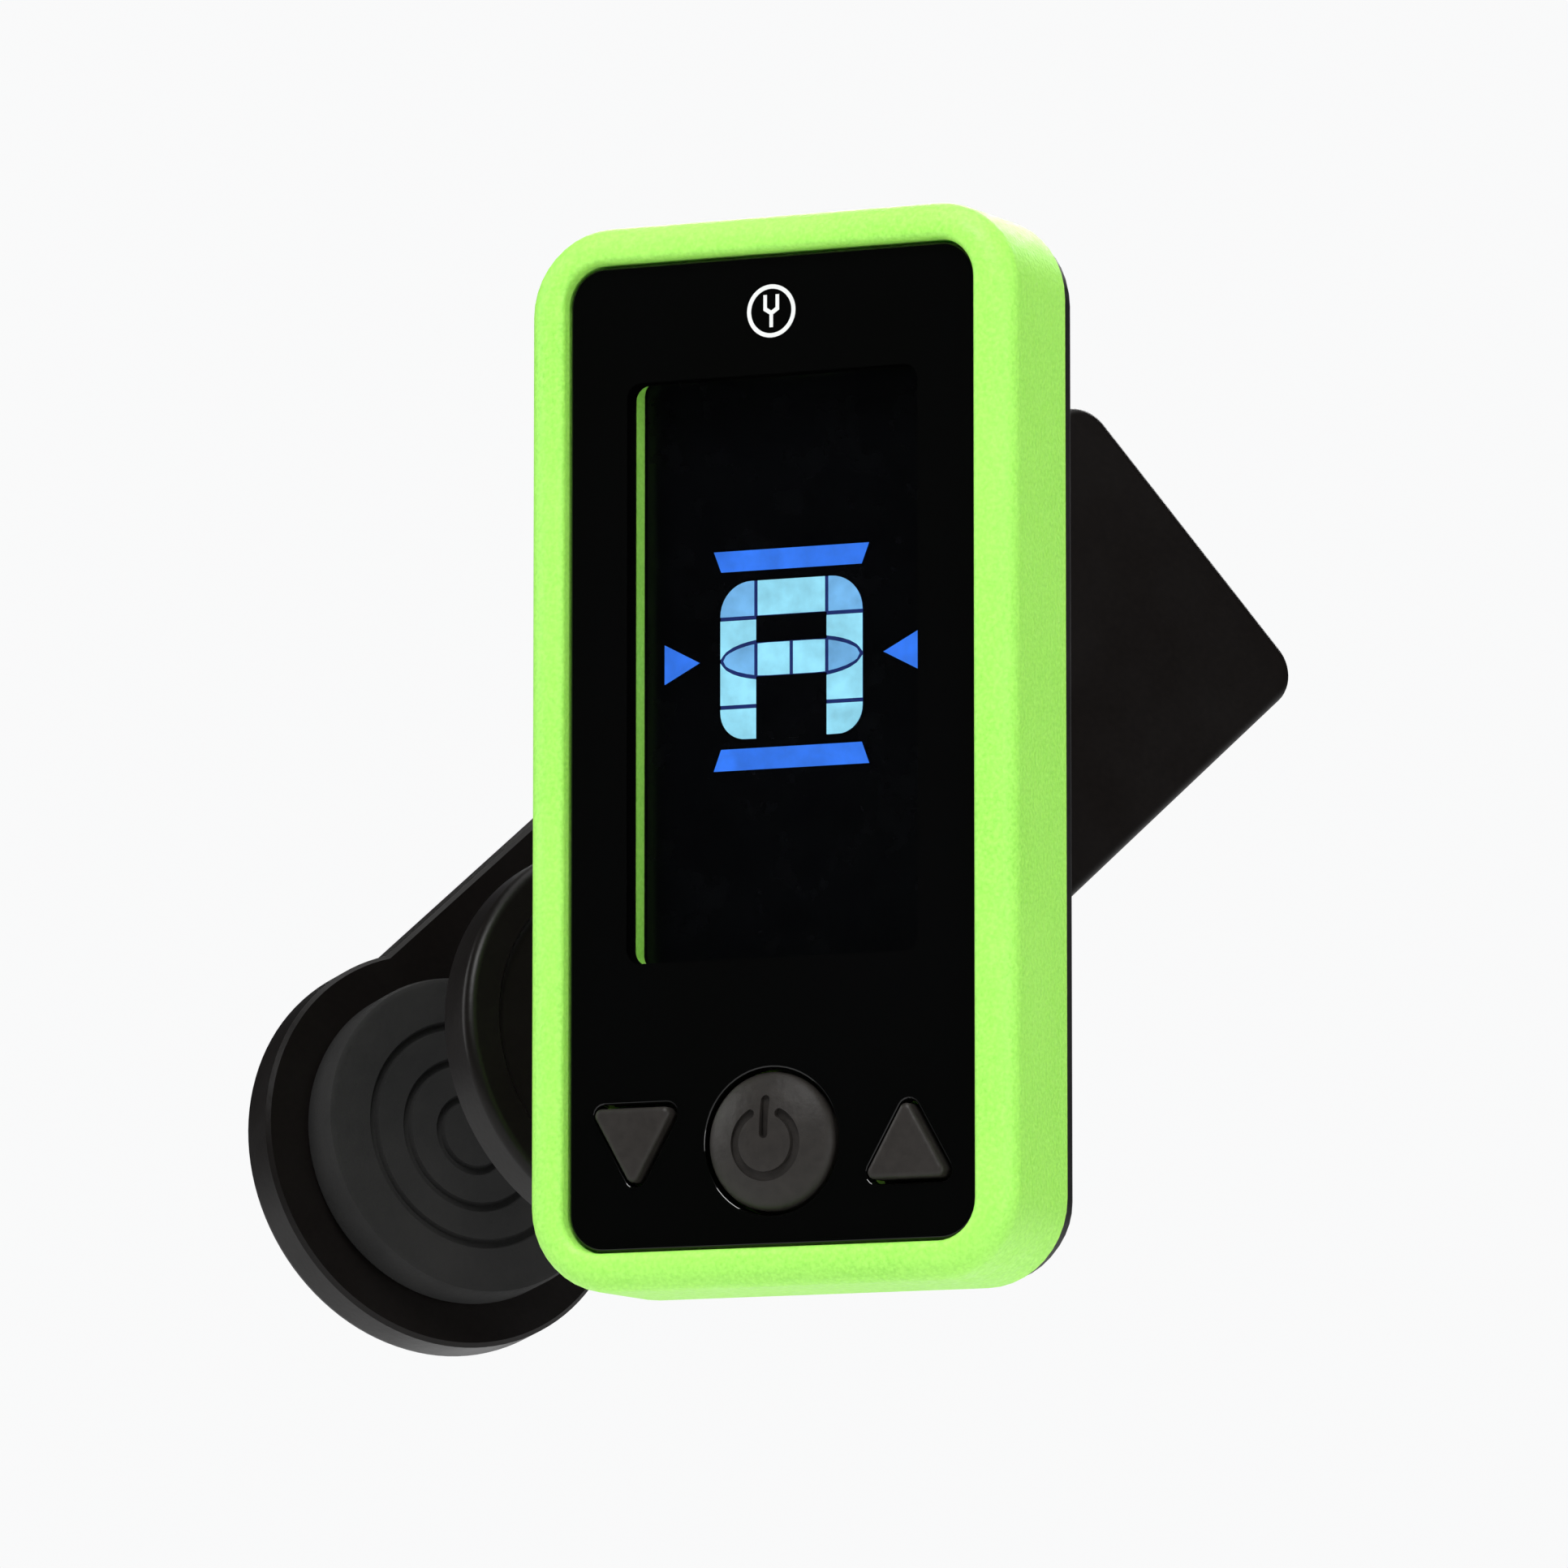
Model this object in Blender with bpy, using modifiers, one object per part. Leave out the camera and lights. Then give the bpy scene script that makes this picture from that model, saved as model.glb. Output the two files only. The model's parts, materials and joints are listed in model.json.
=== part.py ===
"""Clip-on instrument tuner: display head, two-pivot neck and spring clip.

The head faces -Y with +Z up.  The origin is the centre of the fixed jaw pad's face.
Dimensions below are millimetres; MM turns them into metres where geometry is made.
"""

import math

import bmesh
import bpy
from mathutils import Matrix, Vector

MM = 0.001
MERGE = 1e-6

# head ------------------------------------------------------------------
HEAD_W = 31.0
HEAD_H = 62.0
HEAD_CORNER = 5.0
BEZEL_DEPTH = 8.0
BEZEL_PROFILE = ((1.5, 0.0), (0.75, 0.2), (0.2, 0.75), (0.0, 1.5), (0.0, BEZEL_DEPTH))
WINDOW_W = 25.9
WINDOW_H = 57.3
WINDOW_CORNER = 2.2
WINDOW_FRONT = 0.9
WINDOW_THICK = 1.2
WINDOW_GAP = 0.15
RIM_CHAMFER = 0.5
WEB_FRONT = 2.4
WEB_BACK = 3.4
WALL = 1.6
WELL_W = 18.8
WELL_H = 34.4
WELL_Z = 5.0
WELL_CORNER = 0.8
LCD_W = 24.0
LCD_H = 36.6
COVER_FRONT = 8.3
COVER_BACK = 13.5
COVER_WALL = 1.4
COVER_OUTER = ((0.4, COVER_FRONT), (0.4, 9.2), (1.15, 10.9), (2.3, 12.4), (3.0, 13.1), (3.6, COVER_BACK))
COVER_INNER = ((1.7, COVER_FRONT - 1), (1.7, 9.0), (2.4, 10.5), (3.4, 11.6), (4.4, COVER_BACK - COVER_WALL))
BOARD_W = 26.8
BOARD_H = 57.6
BOARD_FRONT = 7.1
BOARD_THICK = 0.8
PIEZO_Z = -17.3
PIEZO_THICK = 0.24

# buttons ---------------------------------------------------------------
ARROW_X = 8.7
ARROW_Z = -22.8
ARROW_W = 5.4
ARROW_H = 4.7
ARROW_FRONT = 0.35
ARROW_ROUND = 0.4
POWER_Z = -22.7
POWER_R = 4.0
BUTTON_GAP = 0.25
WEB_HOLE_GAP = 0.35
FLANGE = 0.7
BUTTON_BACK = 4.3
SWITCH_FRONT = 4.8
SWITCH_W = 3.6
STEM_R = 0.9

# battery ---------------------------------------------------------------
CELL_R = 10.0
CELL_Z = 14.2
CELL_HALF = 1.6
CELL_DEPTH = 10.3
DOOR_R = 11.2
DOOR_LIP_R = 12.5
DOOR_TAB_HALF = 0.3
DOOR_TURN = 40.0
POST_R = 1.7
POST_BORE = 0.9
SCREW_CLEAR = 0.95
SCREW_SINK = 1.6
SINK_DEPTH = 0.8
SCREW_SPOTS = ((-9.8, 25.4), (9.8, 25.4), (-10.1, -17.2), (10.1, -17.2))

# neck ------------------------------------------------------------------
BOSS_Z = -2.8
BOSS_TO_TILT = 8.5
TILT_HEIGHT = 16.0
TILT_ANGLE = 57.4
HEAD_LEAN = 12.7
TURRET_TURN = 57.8
EYE_R = 4.2
EYE_HALF = 2.1
CHEEK_IN = 2.7
CHEEK_OUT = 5.2
CHEEK_R = 4.5
FORK_DEPTH = 4.7
PIN_BORE = 1.62
PIN_R = 1.5
SWIVEL_R = 1.0
SWIVEL_BORE = 1.1

# clip ------------------------------------------------------------------
LEVER_W = 22.6
LEVER_THICK = 3.0
JAW_A = -13.7
JAW_R = 12.5
THUMB_END = 41.3
THUMB_CORNER = 2.4
PAD_R = 10.0
PAD_THICK = 3.0
PAD_GAP = 0.3
JAW_GAP = 15.5
HINGE_A = 12.3
EAR_OUT = 8.7
EAR_IN = 6.4
EAR_THICK = 2.0
EAR_R = 3.7
SKIRT = 2.4

LIME = (0.53, 0.95, 0.19, 1.0)
JET = (0.012, 0.012, 0.012, 1.0)
CAP_GREY = (0.045, 0.04, 0.035, 1.0)
CLIP_BLACK = (0.02, 0.015, 0.014, 1.0)
RUBBER = (0.03, 0.03, 0.03, 1.0)
STEEL = (0.55, 0.55, 0.56, 1.0)
BRASS = (0.72, 0.5, 0.18, 1.0)
BOARD_GREEN = (0.02, 0.16, 0.07, 1.0)
WHITE = (0.85, 0.85, 0.82, 1.0)


def clear_scene():
    for item in list(bpy.data.objects):
        bpy.data.objects.remove(item, do_unlink=True)


clear_scene()
PARTS = bpy.data.collections.new("clip_on_tuner")
CUTTERS = bpy.data.collections.new("cutters")
bpy.context.scene.collection.children.link(PARTS)
bpy.context.scene.collection.children.link(CUTTERS)


# geometry helpers ------------------------------------------------------
def rounded(points, radius, steps=5):
    """Outline through points with every corner rounded by radius."""
    out = []
    count = len(points)
    for i, here in enumerate(points):
        p = Vector(here)
        a = (Vector(points[i - 1]) - p).normalized()
        b = (Vector(points[(i + 1) % count]) - p).normalized()
        r = radius[i] if isinstance(radius, (list, tuple)) else radius
        if r <= 0:
            out.append((p.x, p.y))
            continue
        half = a.angle(b) / 2
        centre = p + (a + b).normalized() * (r / math.sin(half))
        start = p + a * (r / math.tan(half)) - centre
        end = p + b * (r / math.tan(half)) - centre
        sweep = start.angle_signed(end)
        for k in range(steps + 1):
            angle = -sweep * k / steps
            c = math.cos(angle)
            s = math.sin(angle)
            out.append((centre.x + c * start.x - s * start.y, centre.y + s * start.x + c * start.y))
    return out


def box_outline(width, height, radius, steps=5, x=0.0, y=0.0):
    w = width / 2
    h = height / 2
    corners = [(x - w, y - h), (x + w, y - h), (x + w, y + h), (x - w, y + h)]
    return rounded(corners, radius, steps)


def circle(radius, steps=24, x=0.0, y=0.0, start=0.0, sweep=2 * math.pi):
    full = abs(sweep - 2 * math.pi) < 1e-9
    count = steps if full else steps + 1
    out = []
    for k in range(count):
        angle = start + sweep * k / steps
        out.append((x + radius * math.cos(angle), y + radius * math.sin(angle)))
    return out


def tidy(mesh):
    work = bmesh.new()
    work.from_mesh(mesh)
    bmesh.ops.remove_doubles(work, verts=work.verts, dist=MERGE)
    bmesh.ops.recalc_face_normals(work, faces=work.faces)
    work.to_mesh(mesh)
    work.free()
    return mesh


def plate(rings, thickness):
    """Flat solid, rings in XY, centred on Z = 0."""
    curve = bpy.data.curves.new("outline", "CURVE")
    curve.dimensions = "2D"
    curve.fill_mode = "BOTH"
    curve.extrude = thickness / 2 * MM
    for ring in rings:
        spline = curve.splines.new("POLY")
        spline.points.add(len(ring) - 1)
        for point, (x, y) in zip(spline.points, ring):
            point.co = (x * MM, y * MM, 0.0, 1.0)
        spline.use_cyclic_u = True
    return from_curve(curve)


def from_curve(curve):
    holder = bpy.data.objects.new("outline", curve)
    bpy.context.scene.collection.objects.link(holder)
    graph = bpy.context.evaluated_depsgraph_get()
    mesh = bpy.data.meshes.new_from_object(holder.evaluated_get(graph))
    bpy.data.objects.remove(holder, do_unlink=True)
    return tidy(mesh)


def wire(points, radius):
    """Round wire along points, with closed ends."""
    curve = bpy.data.curves.new("wire", "CURVE")
    curve.dimensions = "3D"
    curve.bevel_depth = radius * MM
    curve.bevel_resolution = 2
    curve.use_fill_caps = True
    spline = curve.splines.new("POLY")
    spline.points.add(len(points) - 1)
    for point, (x, y, z) in zip(spline.points, points):
        point.co = (x * MM, y * MM, z * MM, 1.0)
    return from_curve(curve)


def turned(profile, steps=24, closed=False):
    """Solid of revolution about Z; profile is (radius, height) from top to bottom."""
    mesh = bpy.data.meshes.new("profile")
    points = [(r * MM, 0.0, z * MM) for r, z in profile]
    edges = [(k, k + 1) for k in range(len(points) - 1)]
    if closed:
        edges.append((len(points) - 1, 0))
    mesh.from_pydata(points, edges, [])
    holder = bpy.data.objects.new("profile", mesh)
    bpy.context.scene.collection.objects.link(holder)
    screw = holder.modifiers.new("turn", "SCREW")
    screw.steps = steps
    screw.render_steps = steps
    screw.use_merge_vertices = True
    screw.merge_threshold = MERGE
    graph = bpy.context.evaluated_depsgraph_get()
    result = bpy.data.meshes.new_from_object(holder.evaluated_get(graph))
    bpy.data.objects.remove(holder, do_unlink=True)
    return tidy(result)


def loft(profile, width, height, corner, steps=6):
    """Rounded box whose outline steps in by each profile inset at each depth."""
    mesh = bpy.data.meshes.new("loft")
    work = bmesh.new()
    rows = []
    for inset, depth in profile:
        radius = max(corner - inset, 0.4)
        outline = box_outline(width - 2 * inset, height - 2 * inset, radius, steps)
        rows.append([work.verts.new((x * MM, y * MM, -depth * MM)) for x, y in outline])
    count = len(rows[0])
    for upper, lower in zip(rows, rows[1:]):
        for k in range(count):
            after = (k + 1) % count
            work.faces.new((upper[k], lower[k], lower[after], upper[after]))
    work.faces.new(rows[0])
    work.faces.new(list(reversed(rows[-1])))
    work.to_mesh(mesh)
    work.free()
    return tidy(mesh)


def rod(radius, low, high, steps=16):
    return turned([(0, high), (radius, high), (radius, low), (0, low)], steps)


def ring(inner, outer, low, high, steps=24):
    profile = [(inner, high), (outer, high), (outer, low), (inner, low)]
    return turned(profile, steps, closed=True)


def brick(x, y, z):
    mesh = bpy.data.meshes.new("brick")
    work = bmesh.new()
    bmesh.ops.create_cube(work, size=1.0)
    bmesh.ops.scale(work, vec=(x * MM, y * MM, z * MM), verts=work.verts)
    work.to_mesh(mesh)
    work.free()
    return mesh


# placing helpers -------------------------------------------------------
def turn(x=0.0, y=0.0, z=0.0):
    return (math.radians(x), math.radians(y), math.radians(z))


FACING = turn(90)
ALONG_A = turn(90)
ALONG_T = turn(90, 0, 90)


def place(item, parent, at, rotation):
    item.parent = parent
    item.location = Vector(at) * MM
    item.rotation_euler = rotation


def frame(name, parent=None, at=(0, 0, 0), rotation=(0, 0, 0)):
    item = bpy.data.objects.new(name, None)
    item.empty_display_size = 5 * MM
    PARTS.objects.link(item)
    place(item, parent, at, rotation)
    return item


def material(name, colour, roughness, metallic):
    made = bpy.data.materials.new(name)
    made.use_nodes = True
    shader = made.node_tree.nodes["Principled BSDF"]
    shader.inputs["Base Color"].default_value = colour
    shader.inputs["Roughness"].default_value = roughness
    shader.inputs["Metallic"].default_value = metallic
    return made


def part(name, mesh, parent, at=(0, 0, 0), rotation=(0, 0, 0), look=(JET, 0.4, 0.0), smooth=False):
    item = bpy.data.objects.new(name, mesh)
    PARTS.objects.link(item)
    place(item, parent, at, rotation)
    mesh.materials.clear()
    mesh.materials.append(material(name, *look))
    for face in mesh.polygons:
        face.use_smooth = smooth
    return item


def tool(mesh, parent, at=(0, 0, 0), rotation=(0, 0, 0)):
    item = bpy.data.objects.new("tool", mesh)
    CUTTERS.objects.link(item)
    item.hide_render = True
    item.display_type = "WIRE"
    place(item, parent, at, rotation)
    return item


def boolean(item, other, operation):
    step = item.modifiers.new(operation.lower(), "BOOLEAN")
    step.operation = operation
    step.solver = "EXACT"
    step.object = other


def cut(item, *others):
    for other in others:
        boolean(item, other, "DIFFERENCE")


def join(item, *others):
    for other in others:
        boolean(item, other, "UNION")


def round_edges(item, radius, segments, chosen):
    """Bevel the edges whose two ends both satisfy chosen(point in millimetres)."""
    mesh = item.data
    weights = mesh.attributes.new("bevel_weight_edge", "FLOAT", "EDGE")
    for edge in mesh.edges:
        ends = [mesh.vertices[v].co / MM for v in edge.vertices]
        if all(chosen(end) for end in ends):
            weights.data[edge.index].value = 1.0
    step = item.modifiers.new("round", "BEVEL")
    step.limit_method = "WEIGHT"
    step.width = radius * MM
    step.segments = segments


# frames ----------------------------------------------------------------
LEAN_TURN = turn(-90, 0, -(90 + HEAD_LEAN))
TILT_TURN = turn(-TILT_ANGLE)
TURRET_ROTATION = turn(0, 0, TURRET_TURN)


def rotation_matrix(angles):
    x = Matrix.Rotation(angles[0], 3, "X")
    y = Matrix.Rotation(angles[1], 3, "Y")
    z = Matrix.Rotation(angles[2], 3, "Z")
    return z @ y @ x


CHAIN = rotation_matrix(TURRET_ROTATION) @ rotation_matrix(TILT_TURN) @ rotation_matrix(LEAN_TURN)
CLIP_MATRIX = CHAIN.inverted()
PAD_FACE = -LEVER_THICK - PAD_GAP - PAD_THICK
REAR_PAD_FACE = PAD_FACE - JAW_GAP
HINGE_N = (PAD_FACE + REAR_PAD_FACE) / 2
REAR_TOP = REAR_PAD_FACE - PAD_THICK - PAD_GAP
CLIP_PLACE = -(CLIP_MATRIX @ Vector((JAW_A, 0, PAD_FACE)))

clip = frame("clip_frame", None, CLIP_PLACE, CLIP_MATRIX.to_euler())
hinge = frame("hinge_axis", clip, (HINGE_A, 0, HINGE_N))
base = frame("base_axis", clip, (0, 0, 0), TURRET_ROTATION)
tilt = frame("tilt_axis", base, (0, 0, TILT_HEIGHT), TILT_TURN)
swivel = frame("head_axis", tilt, (0, 0, BOSS_TO_TILT), LEAN_TURN)
face = frame("head_face", swivel, (0, -COVER_BACK, -BOSS_Z))
door_axis = frame("door_axis", face, (0, 0, CELL_Z))


# head: bezel -----------------------------------------------------------
def head_plate(rings, front, back):
    """Mesh and centre for a plate lying between two depths behind the face."""
    return plate(rings, back - front), (0, (front + back) / 2, 0)


def arrow_outline(x, direction, grow, radius):
    w = ARROW_W / 2
    h = ARROW_H / 2
    low = (x - w, ARROW_Z - h * direction)
    mid = (x, ARROW_Z + h * direction)
    high = (x + w, ARROW_Z - h * direction)
    points = [low, high, mid] if direction > 0 else [low, mid, high]
    centre = Vector((x, ARROW_Z - h * direction / 3))
    reach = 1 + grow / (ARROW_H / 3)
    scaled = [tuple(centre + (Vector(p) - centre) * reach) for p in points]
    return rounded(scaled, radius, 3)


def make_bezel():
    mesh = loft(BEZEL_PROFILE, HEAD_W, HEAD_H, HEAD_CORNER)
    body = part("bezel", mesh, face, (0, 0, 0), FACING, (LIME, 0.35, 0.0), True)
    slope = ((-RIM_CHAMFER - 1, -1.0), (0.0, RIM_CHAMFER), (0.0, WEB_FRONT))
    pocket = loft(slope, WINDOW_W + 2 * WINDOW_GAP, WINDOW_H + 2 * WINDOW_GAP, WINDOW_CORNER + WINDOW_GAP, 4)
    cut(body, tool(pocket, face, (0, 0, 0), FACING))
    hollow = box_outline(HEAD_W - 2 * WALL, HEAD_H - 2 * WALL, HEAD_CORNER - WALL, 6)
    mesh, at = head_plate([hollow], WEB_BACK, BEZEL_DEPTH + 2)
    cut(body, tool(mesh, face, at, FACING))
    mesh, at = head_plate([box_outline(WELL_W, WELL_H, WELL_CORNER, 3, 0, WELL_Z)], -1, BEZEL_DEPTH)
    cut(body, tool(mesh, face, at, FACING))
    holes = [
        arrow_outline(-ARROW_X, -1, WEB_HOLE_GAP, ARROW_ROUND + WEB_HOLE_GAP),
        arrow_outline(ARROW_X, 1, WEB_HOLE_GAP, ARROW_ROUND + WEB_HOLE_GAP),
        circle(POWER_R + WEB_HOLE_GAP, 28, 0, POWER_Z),
    ]
    for hole in holes:
        mesh, at = head_plate([hole], -1, BEZEL_DEPTH)
        cut(body, tool(mesh, face, at, FACING))
    for x, z in SCREW_SPOTS:
        post, at = head_plate([circle(POST_R, 14, x, z)], WEB_BACK - 0.6, BEZEL_DEPTH)
        join(body, tool(post, face, at, FACING))
        bore, at = head_plate([circle(POST_BORE, 12, x, z)], WEB_BACK + 0.4, BEZEL_DEPTH + 1)
        cut(body, tool(bore, face, at, FACING))


def make_window():
    rings = [
        box_outline(WINDOW_W, WINDOW_H, WINDOW_CORNER, 6),
        arrow_outline(-ARROW_X, -1, BUTTON_GAP, ARROW_ROUND + BUTTON_GAP),
        arrow_outline(ARROW_X, 1, BUTTON_GAP, ARROW_ROUND + BUTTON_GAP),
        circle(POWER_R + BUTTON_GAP, 28, 0, POWER_Z),
    ]
    mesh, at = head_plate(rings, WINDOW_FRONT, WINDOW_FRONT + WINDOW_THICK)
    part("screen_window", mesh, face, at, FACING, (JET, 0.06, 0.0))
    rings = [
        box_outline(WINDOW_W - 0.4, WINDOW_H - 0.4, WINDOW_CORNER, 6),
        box_outline(WELL_W + 1.0, WELL_H + 1.0, WELL_CORNER, 3, 0, WELL_Z),
        box_outline(24.0, 9.8, 1.2, 3, 0, POWER_Z),
    ]
    mesh, at = head_plate(rings, WINDOW_FRONT + WINDOW_THICK + 0.05, WEB_FRONT - 0.05)
    part("window_tape", mesh, face, at, FACING, (JET, 0.8, 0.0))


# head: buttons ---------------------------------------------------------
def make_arrow(name, x, direction):
    own = frame(name + "_axis", face, (0, 0, 0))
    mesh, at = head_plate([arrow_outline(x, direction, 0, ARROW_ROUND)], ARROW_FRONT, BUTTON_BACK - 0.2)
    cap = part(name, mesh, own, at, FACING, (CAP_GREY, 0.45, 0.0))
    top = (BUTTON_BACK - 0.2 - ARROW_FRONT) / 2
    round_edges(cap, 0.3, 2, lambda p: p.z > top - 0.1)
    mesh, at = head_plate([arrow_outline(x, direction, FLANGE, ARROW_ROUND)], WEB_BACK + 0.1, BUTTON_BACK)
    join(cap, tool(mesh, own, at, FACING))


def make_power():
    own = frame("power_axis", face, (0, 0, POWER_Z))
    top = WEB_BACK + 0.1
    dome = [(0, 0.1), (1.6, 0.02), (2.9, -0.22), (3.7, -0.55), (POWER_R, -0.95), (POWER_R, -top)]
    stem = [(POWER_R + FLANGE, -top), (POWER_R + FLANGE, -BUTTON_BACK), (0, -BUTTON_BACK)]
    cap = part("button_power", turned(dome + stem, 28), own, (0, 0, 0), FACING, (CAP_GREY, 0.45, 0.0), True)
    gap = 0.62
    arc = circle(2.05, 18, 0, 0, math.pi / 2 + gap, 2 * math.pi - 2 * gap)
    arc += list(reversed(circle(1.5, 18, 0, 0, math.pi / 2 + gap, 2 * math.pi - 2 * gap)))
    cut(cap, tool(plate([arc], 1.2), own, (0, -0.3, 0), FACING))
    cut(cap, tool(brick(0.55, 1.2, 1.8), own, (0, -0.4, 1.45)))


# head: electronics -----------------------------------------------------
def block(name, size, at, look):
    """Rectangular piece; size is width, depth, height and at is its centre."""
    item = part(name, brick(*size), face, at, (0, 0, 0), look)
    step = item.modifiers.new("soften", "BEVEL")
    step.width = 0.12 * MM
    step.segments = 1
    return item


def make_display():
    block("lcd_glass", (LCD_W, 1.8, LCD_H), (0, 4.5, WELL_Z), ((0.02, 0.03, 0.05, 1), 0.1, 0.0))
    block("light_guide", (LCD_W, 1.3, 33.2), (0, 6.25, WELL_Z + 1.7), (WHITE, 0.3, 0.0))
    block("zebra_strip", (LCD_W - 2, 1.4, 2.2), (0, 6.25, WELL_Z - 16.8), ((0.3, 0.3, 0.32, 1), 0.7, 0.0))
    block("backlight_led", (3.0, 1.2, 1.0), (0, 6.2, WELL_Z + 19.4), (WHITE, 0.3, 0.0))
    rings = [box_outline(BOARD_W, BOARD_H, 3.0, 4)]
    for x, z in SCREW_SPOTS:
        rings.append(circle(2.1, 16, x, z))
    mesh, at = head_plate(rings, BOARD_FRONT, BOARD_FRONT + BOARD_THICK)
    part("main_board", mesh, face, at, FACING, (BOARD_GREEN, 0.4, 0.0))


def make_switch(name, x, z):
    body, at = head_plate([box_outline(SWITCH_W, SWITCH_W, 0.4, 2, x, z)], 5.2, BOARD_FRONT - 0.05)
    item = part(name, body, face, at, FACING, (STEEL, 0.4, 0.8))
    stem, at = head_plate([circle(STEM_R, 12, x, z)], SWITCH_FRONT, 5.6)
    join(item, tool(stem, face, at, FACING))


def make_electronics():
    make_switch("switch_down", -ARROW_X, ARROW_Z + 0.6)
    make_switch("switch_power", 0, POWER_Z)
    make_switch("switch_up", ARROW_X, ARROW_Z - 0.6)
    block("mcu_chip", (5.0, 0.9, 5.0), (-7.0, 8.4, -12.0), (JET, 0.5, 0.0))
    can, at = head_plate([box_outline(2.4, 6.0, 1.1, 4, 8.0, -11.6)], 7.95, 9.5)
    part("crystal", can, face, at, FACING, (STEEL, 0.25, 1.0))
    step = CELL_HALF - 0.25
    cell = [(0, CELL_HALF), (CELL_R - 1.2, CELL_HALF), (CELL_R - 0.9, step), (CELL_R - 0.2, step)]
    cell += [(CELL_R, 1.1), (CELL_R, -step), (CELL_R - 0.3, -CELL_HALF), (0, -CELL_HALF)]
    part("coin_cell", turned(cell, 32), face, (0, CELL_DEPTH, CELL_Z), FACING, (STEEL, 0.25, 1.0), True)
    minus, at = head_plate([box_outline(6.0, 14.0, 1.5, 4, 0, CELL_Z)], 7.95, 8.25)
    part("battery_contact_minus", minus, face, at, FACING, (STEEL, 0.3, 1.0))
    bend = [(-12.1, 8.0), (-12.1, 9.2), (-10.75, 10.7), (-10.45, 10.5), (-11.8, 9.05), (-11.8, 8.3)]
    bend += [(-10.6, 8.3), (-10.6, 8.0)]
    part("battery_contact_plus", plate([bend], 6.0), face, (0, 0, CELL_Z), (0, 0, 0), (STEEL, 0.3, 1.0))
    half = PIEZO_THICK / 2
    part("piezo_plate", rod(7.0, -half, half, 28), face, (0, 11.6, PIEZO_Z), FACING, (BRASS, 0.35, 1.0))
    part("piezo_ceramic", rod(4.6, -half, half, 24), face, (0, 11.3, PIEZO_Z), FACING, (WHITE, 0.5, 0.0))


# head: rear cover and door ---------------------------------------------
def sector(inner, outer, middle, half, steps=4):
    start = math.radians(middle) - half
    out = circle(outer, steps, 0, 0, start, 2 * half)
    out += list(reversed(circle(inner, steps, 0, 0, start, 2 * half)))
    return out


def make_cover():
    mesh = loft(COVER_OUTER, HEAD_W, HEAD_H, HEAD_CORNER)
    shell = part("rear_cover", mesh, face, (0, 0, 0), FACING, (JET, 0.5, 0.0), True)
    cut(shell, tool(loft(COVER_INNER, HEAD_W, HEAD_H, HEAD_CORNER, 4), face, (0, 0, 0), FACING))
    mesh, at = head_plate([circle(DOOR_R + 0.3, 32, 0, CELL_Z)], 9, COVER_BACK + 1)
    cut(shell, tool(mesh, face, at, FACING))
    for middle in (90 - DOOR_TURN, 270 - DOOR_TURN):
        notch = sector(DOOR_R - 1, DOOR_LIP_R + 0.2, middle, DOOR_TAB_HALF + 0.05)
        cut(shell, tool(plate([notch], 6.0), face, (0, COVER_BACK, CELL_Z), FACING))
    for x, z in SCREW_SPOTS:
        post, at = head_plate([circle(POST_R, 14, x, z)], COVER_FRONT, COVER_BACK - 0.9)
        join(shell, tool(post, face, at, FACING))
        bore, at = head_plate([circle(SCREW_CLEAR, 12, x, z)], COVER_FRONT - 1, COVER_BACK + 1)
        cut(shell, tool(bore, face, at, FACING))
        sink, at = head_plate([circle(SCREW_SINK, 14, x, z)], COVER_BACK - SINK_DEPTH, COVER_BACK + 1)
        cut(shell, tool(sink, face, at, FACING))
    bore, at = head_plate([circle(SWIVEL_BORE, 16, 0, BOSS_Z)], COVER_FRONT - 1, COVER_BACK + 1)
    cut(shell, tool(bore, face, at, FACING))


def make_door():
    back = COVER_BACK
    profile = [(0, -12.2), (9.9, -12.2), (10.3, -11.9), (10.3, -11.0), (DOOR_R, -11.0), (DOOR_R, -back + 0.3)]
    profile += [(DOOR_R - 0.3, -back), (0, -back)]
    door = part("battery_door", turned(profile, 32), door_axis, (0, 0, 0), FACING, (JET, 0.5, 0.0), True)
    for middle in (90, 270):
        tab = sector(DOOR_R - 0.4, DOOR_LIP_R, middle, DOOR_TAB_HALF)
        join(door, tool(plate([tab], 0.8), door_axis, (0, 11.45, 0), FACING))
    cut(door, tool(brick(11.0, 1.4, 1.6), door_axis, (0, back, 0)))


def make_cover_screw(index, x, z):
    profile = [(0, 0.7), (1.1, 0.7), (1.45, 0.45), (1.45, 0), (0.75, 0), (0.75, -8.2), (0.4, -8.8), (0, -8.8)]
    item = part(f"cover_screw_{index}", turned(profile, 12), face, (x, COVER_BACK - 0.75, z), turn(-90),
                (STEEL, 0.3, 1.0))
    cut(item, tool(brick(1.9, 0.8, 0.4), face, (x, COVER_BACK, z)))
    cut(item, tool(brick(0.4, 0.8, 1.9), face, (x, COVER_BACK, z)))


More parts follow.
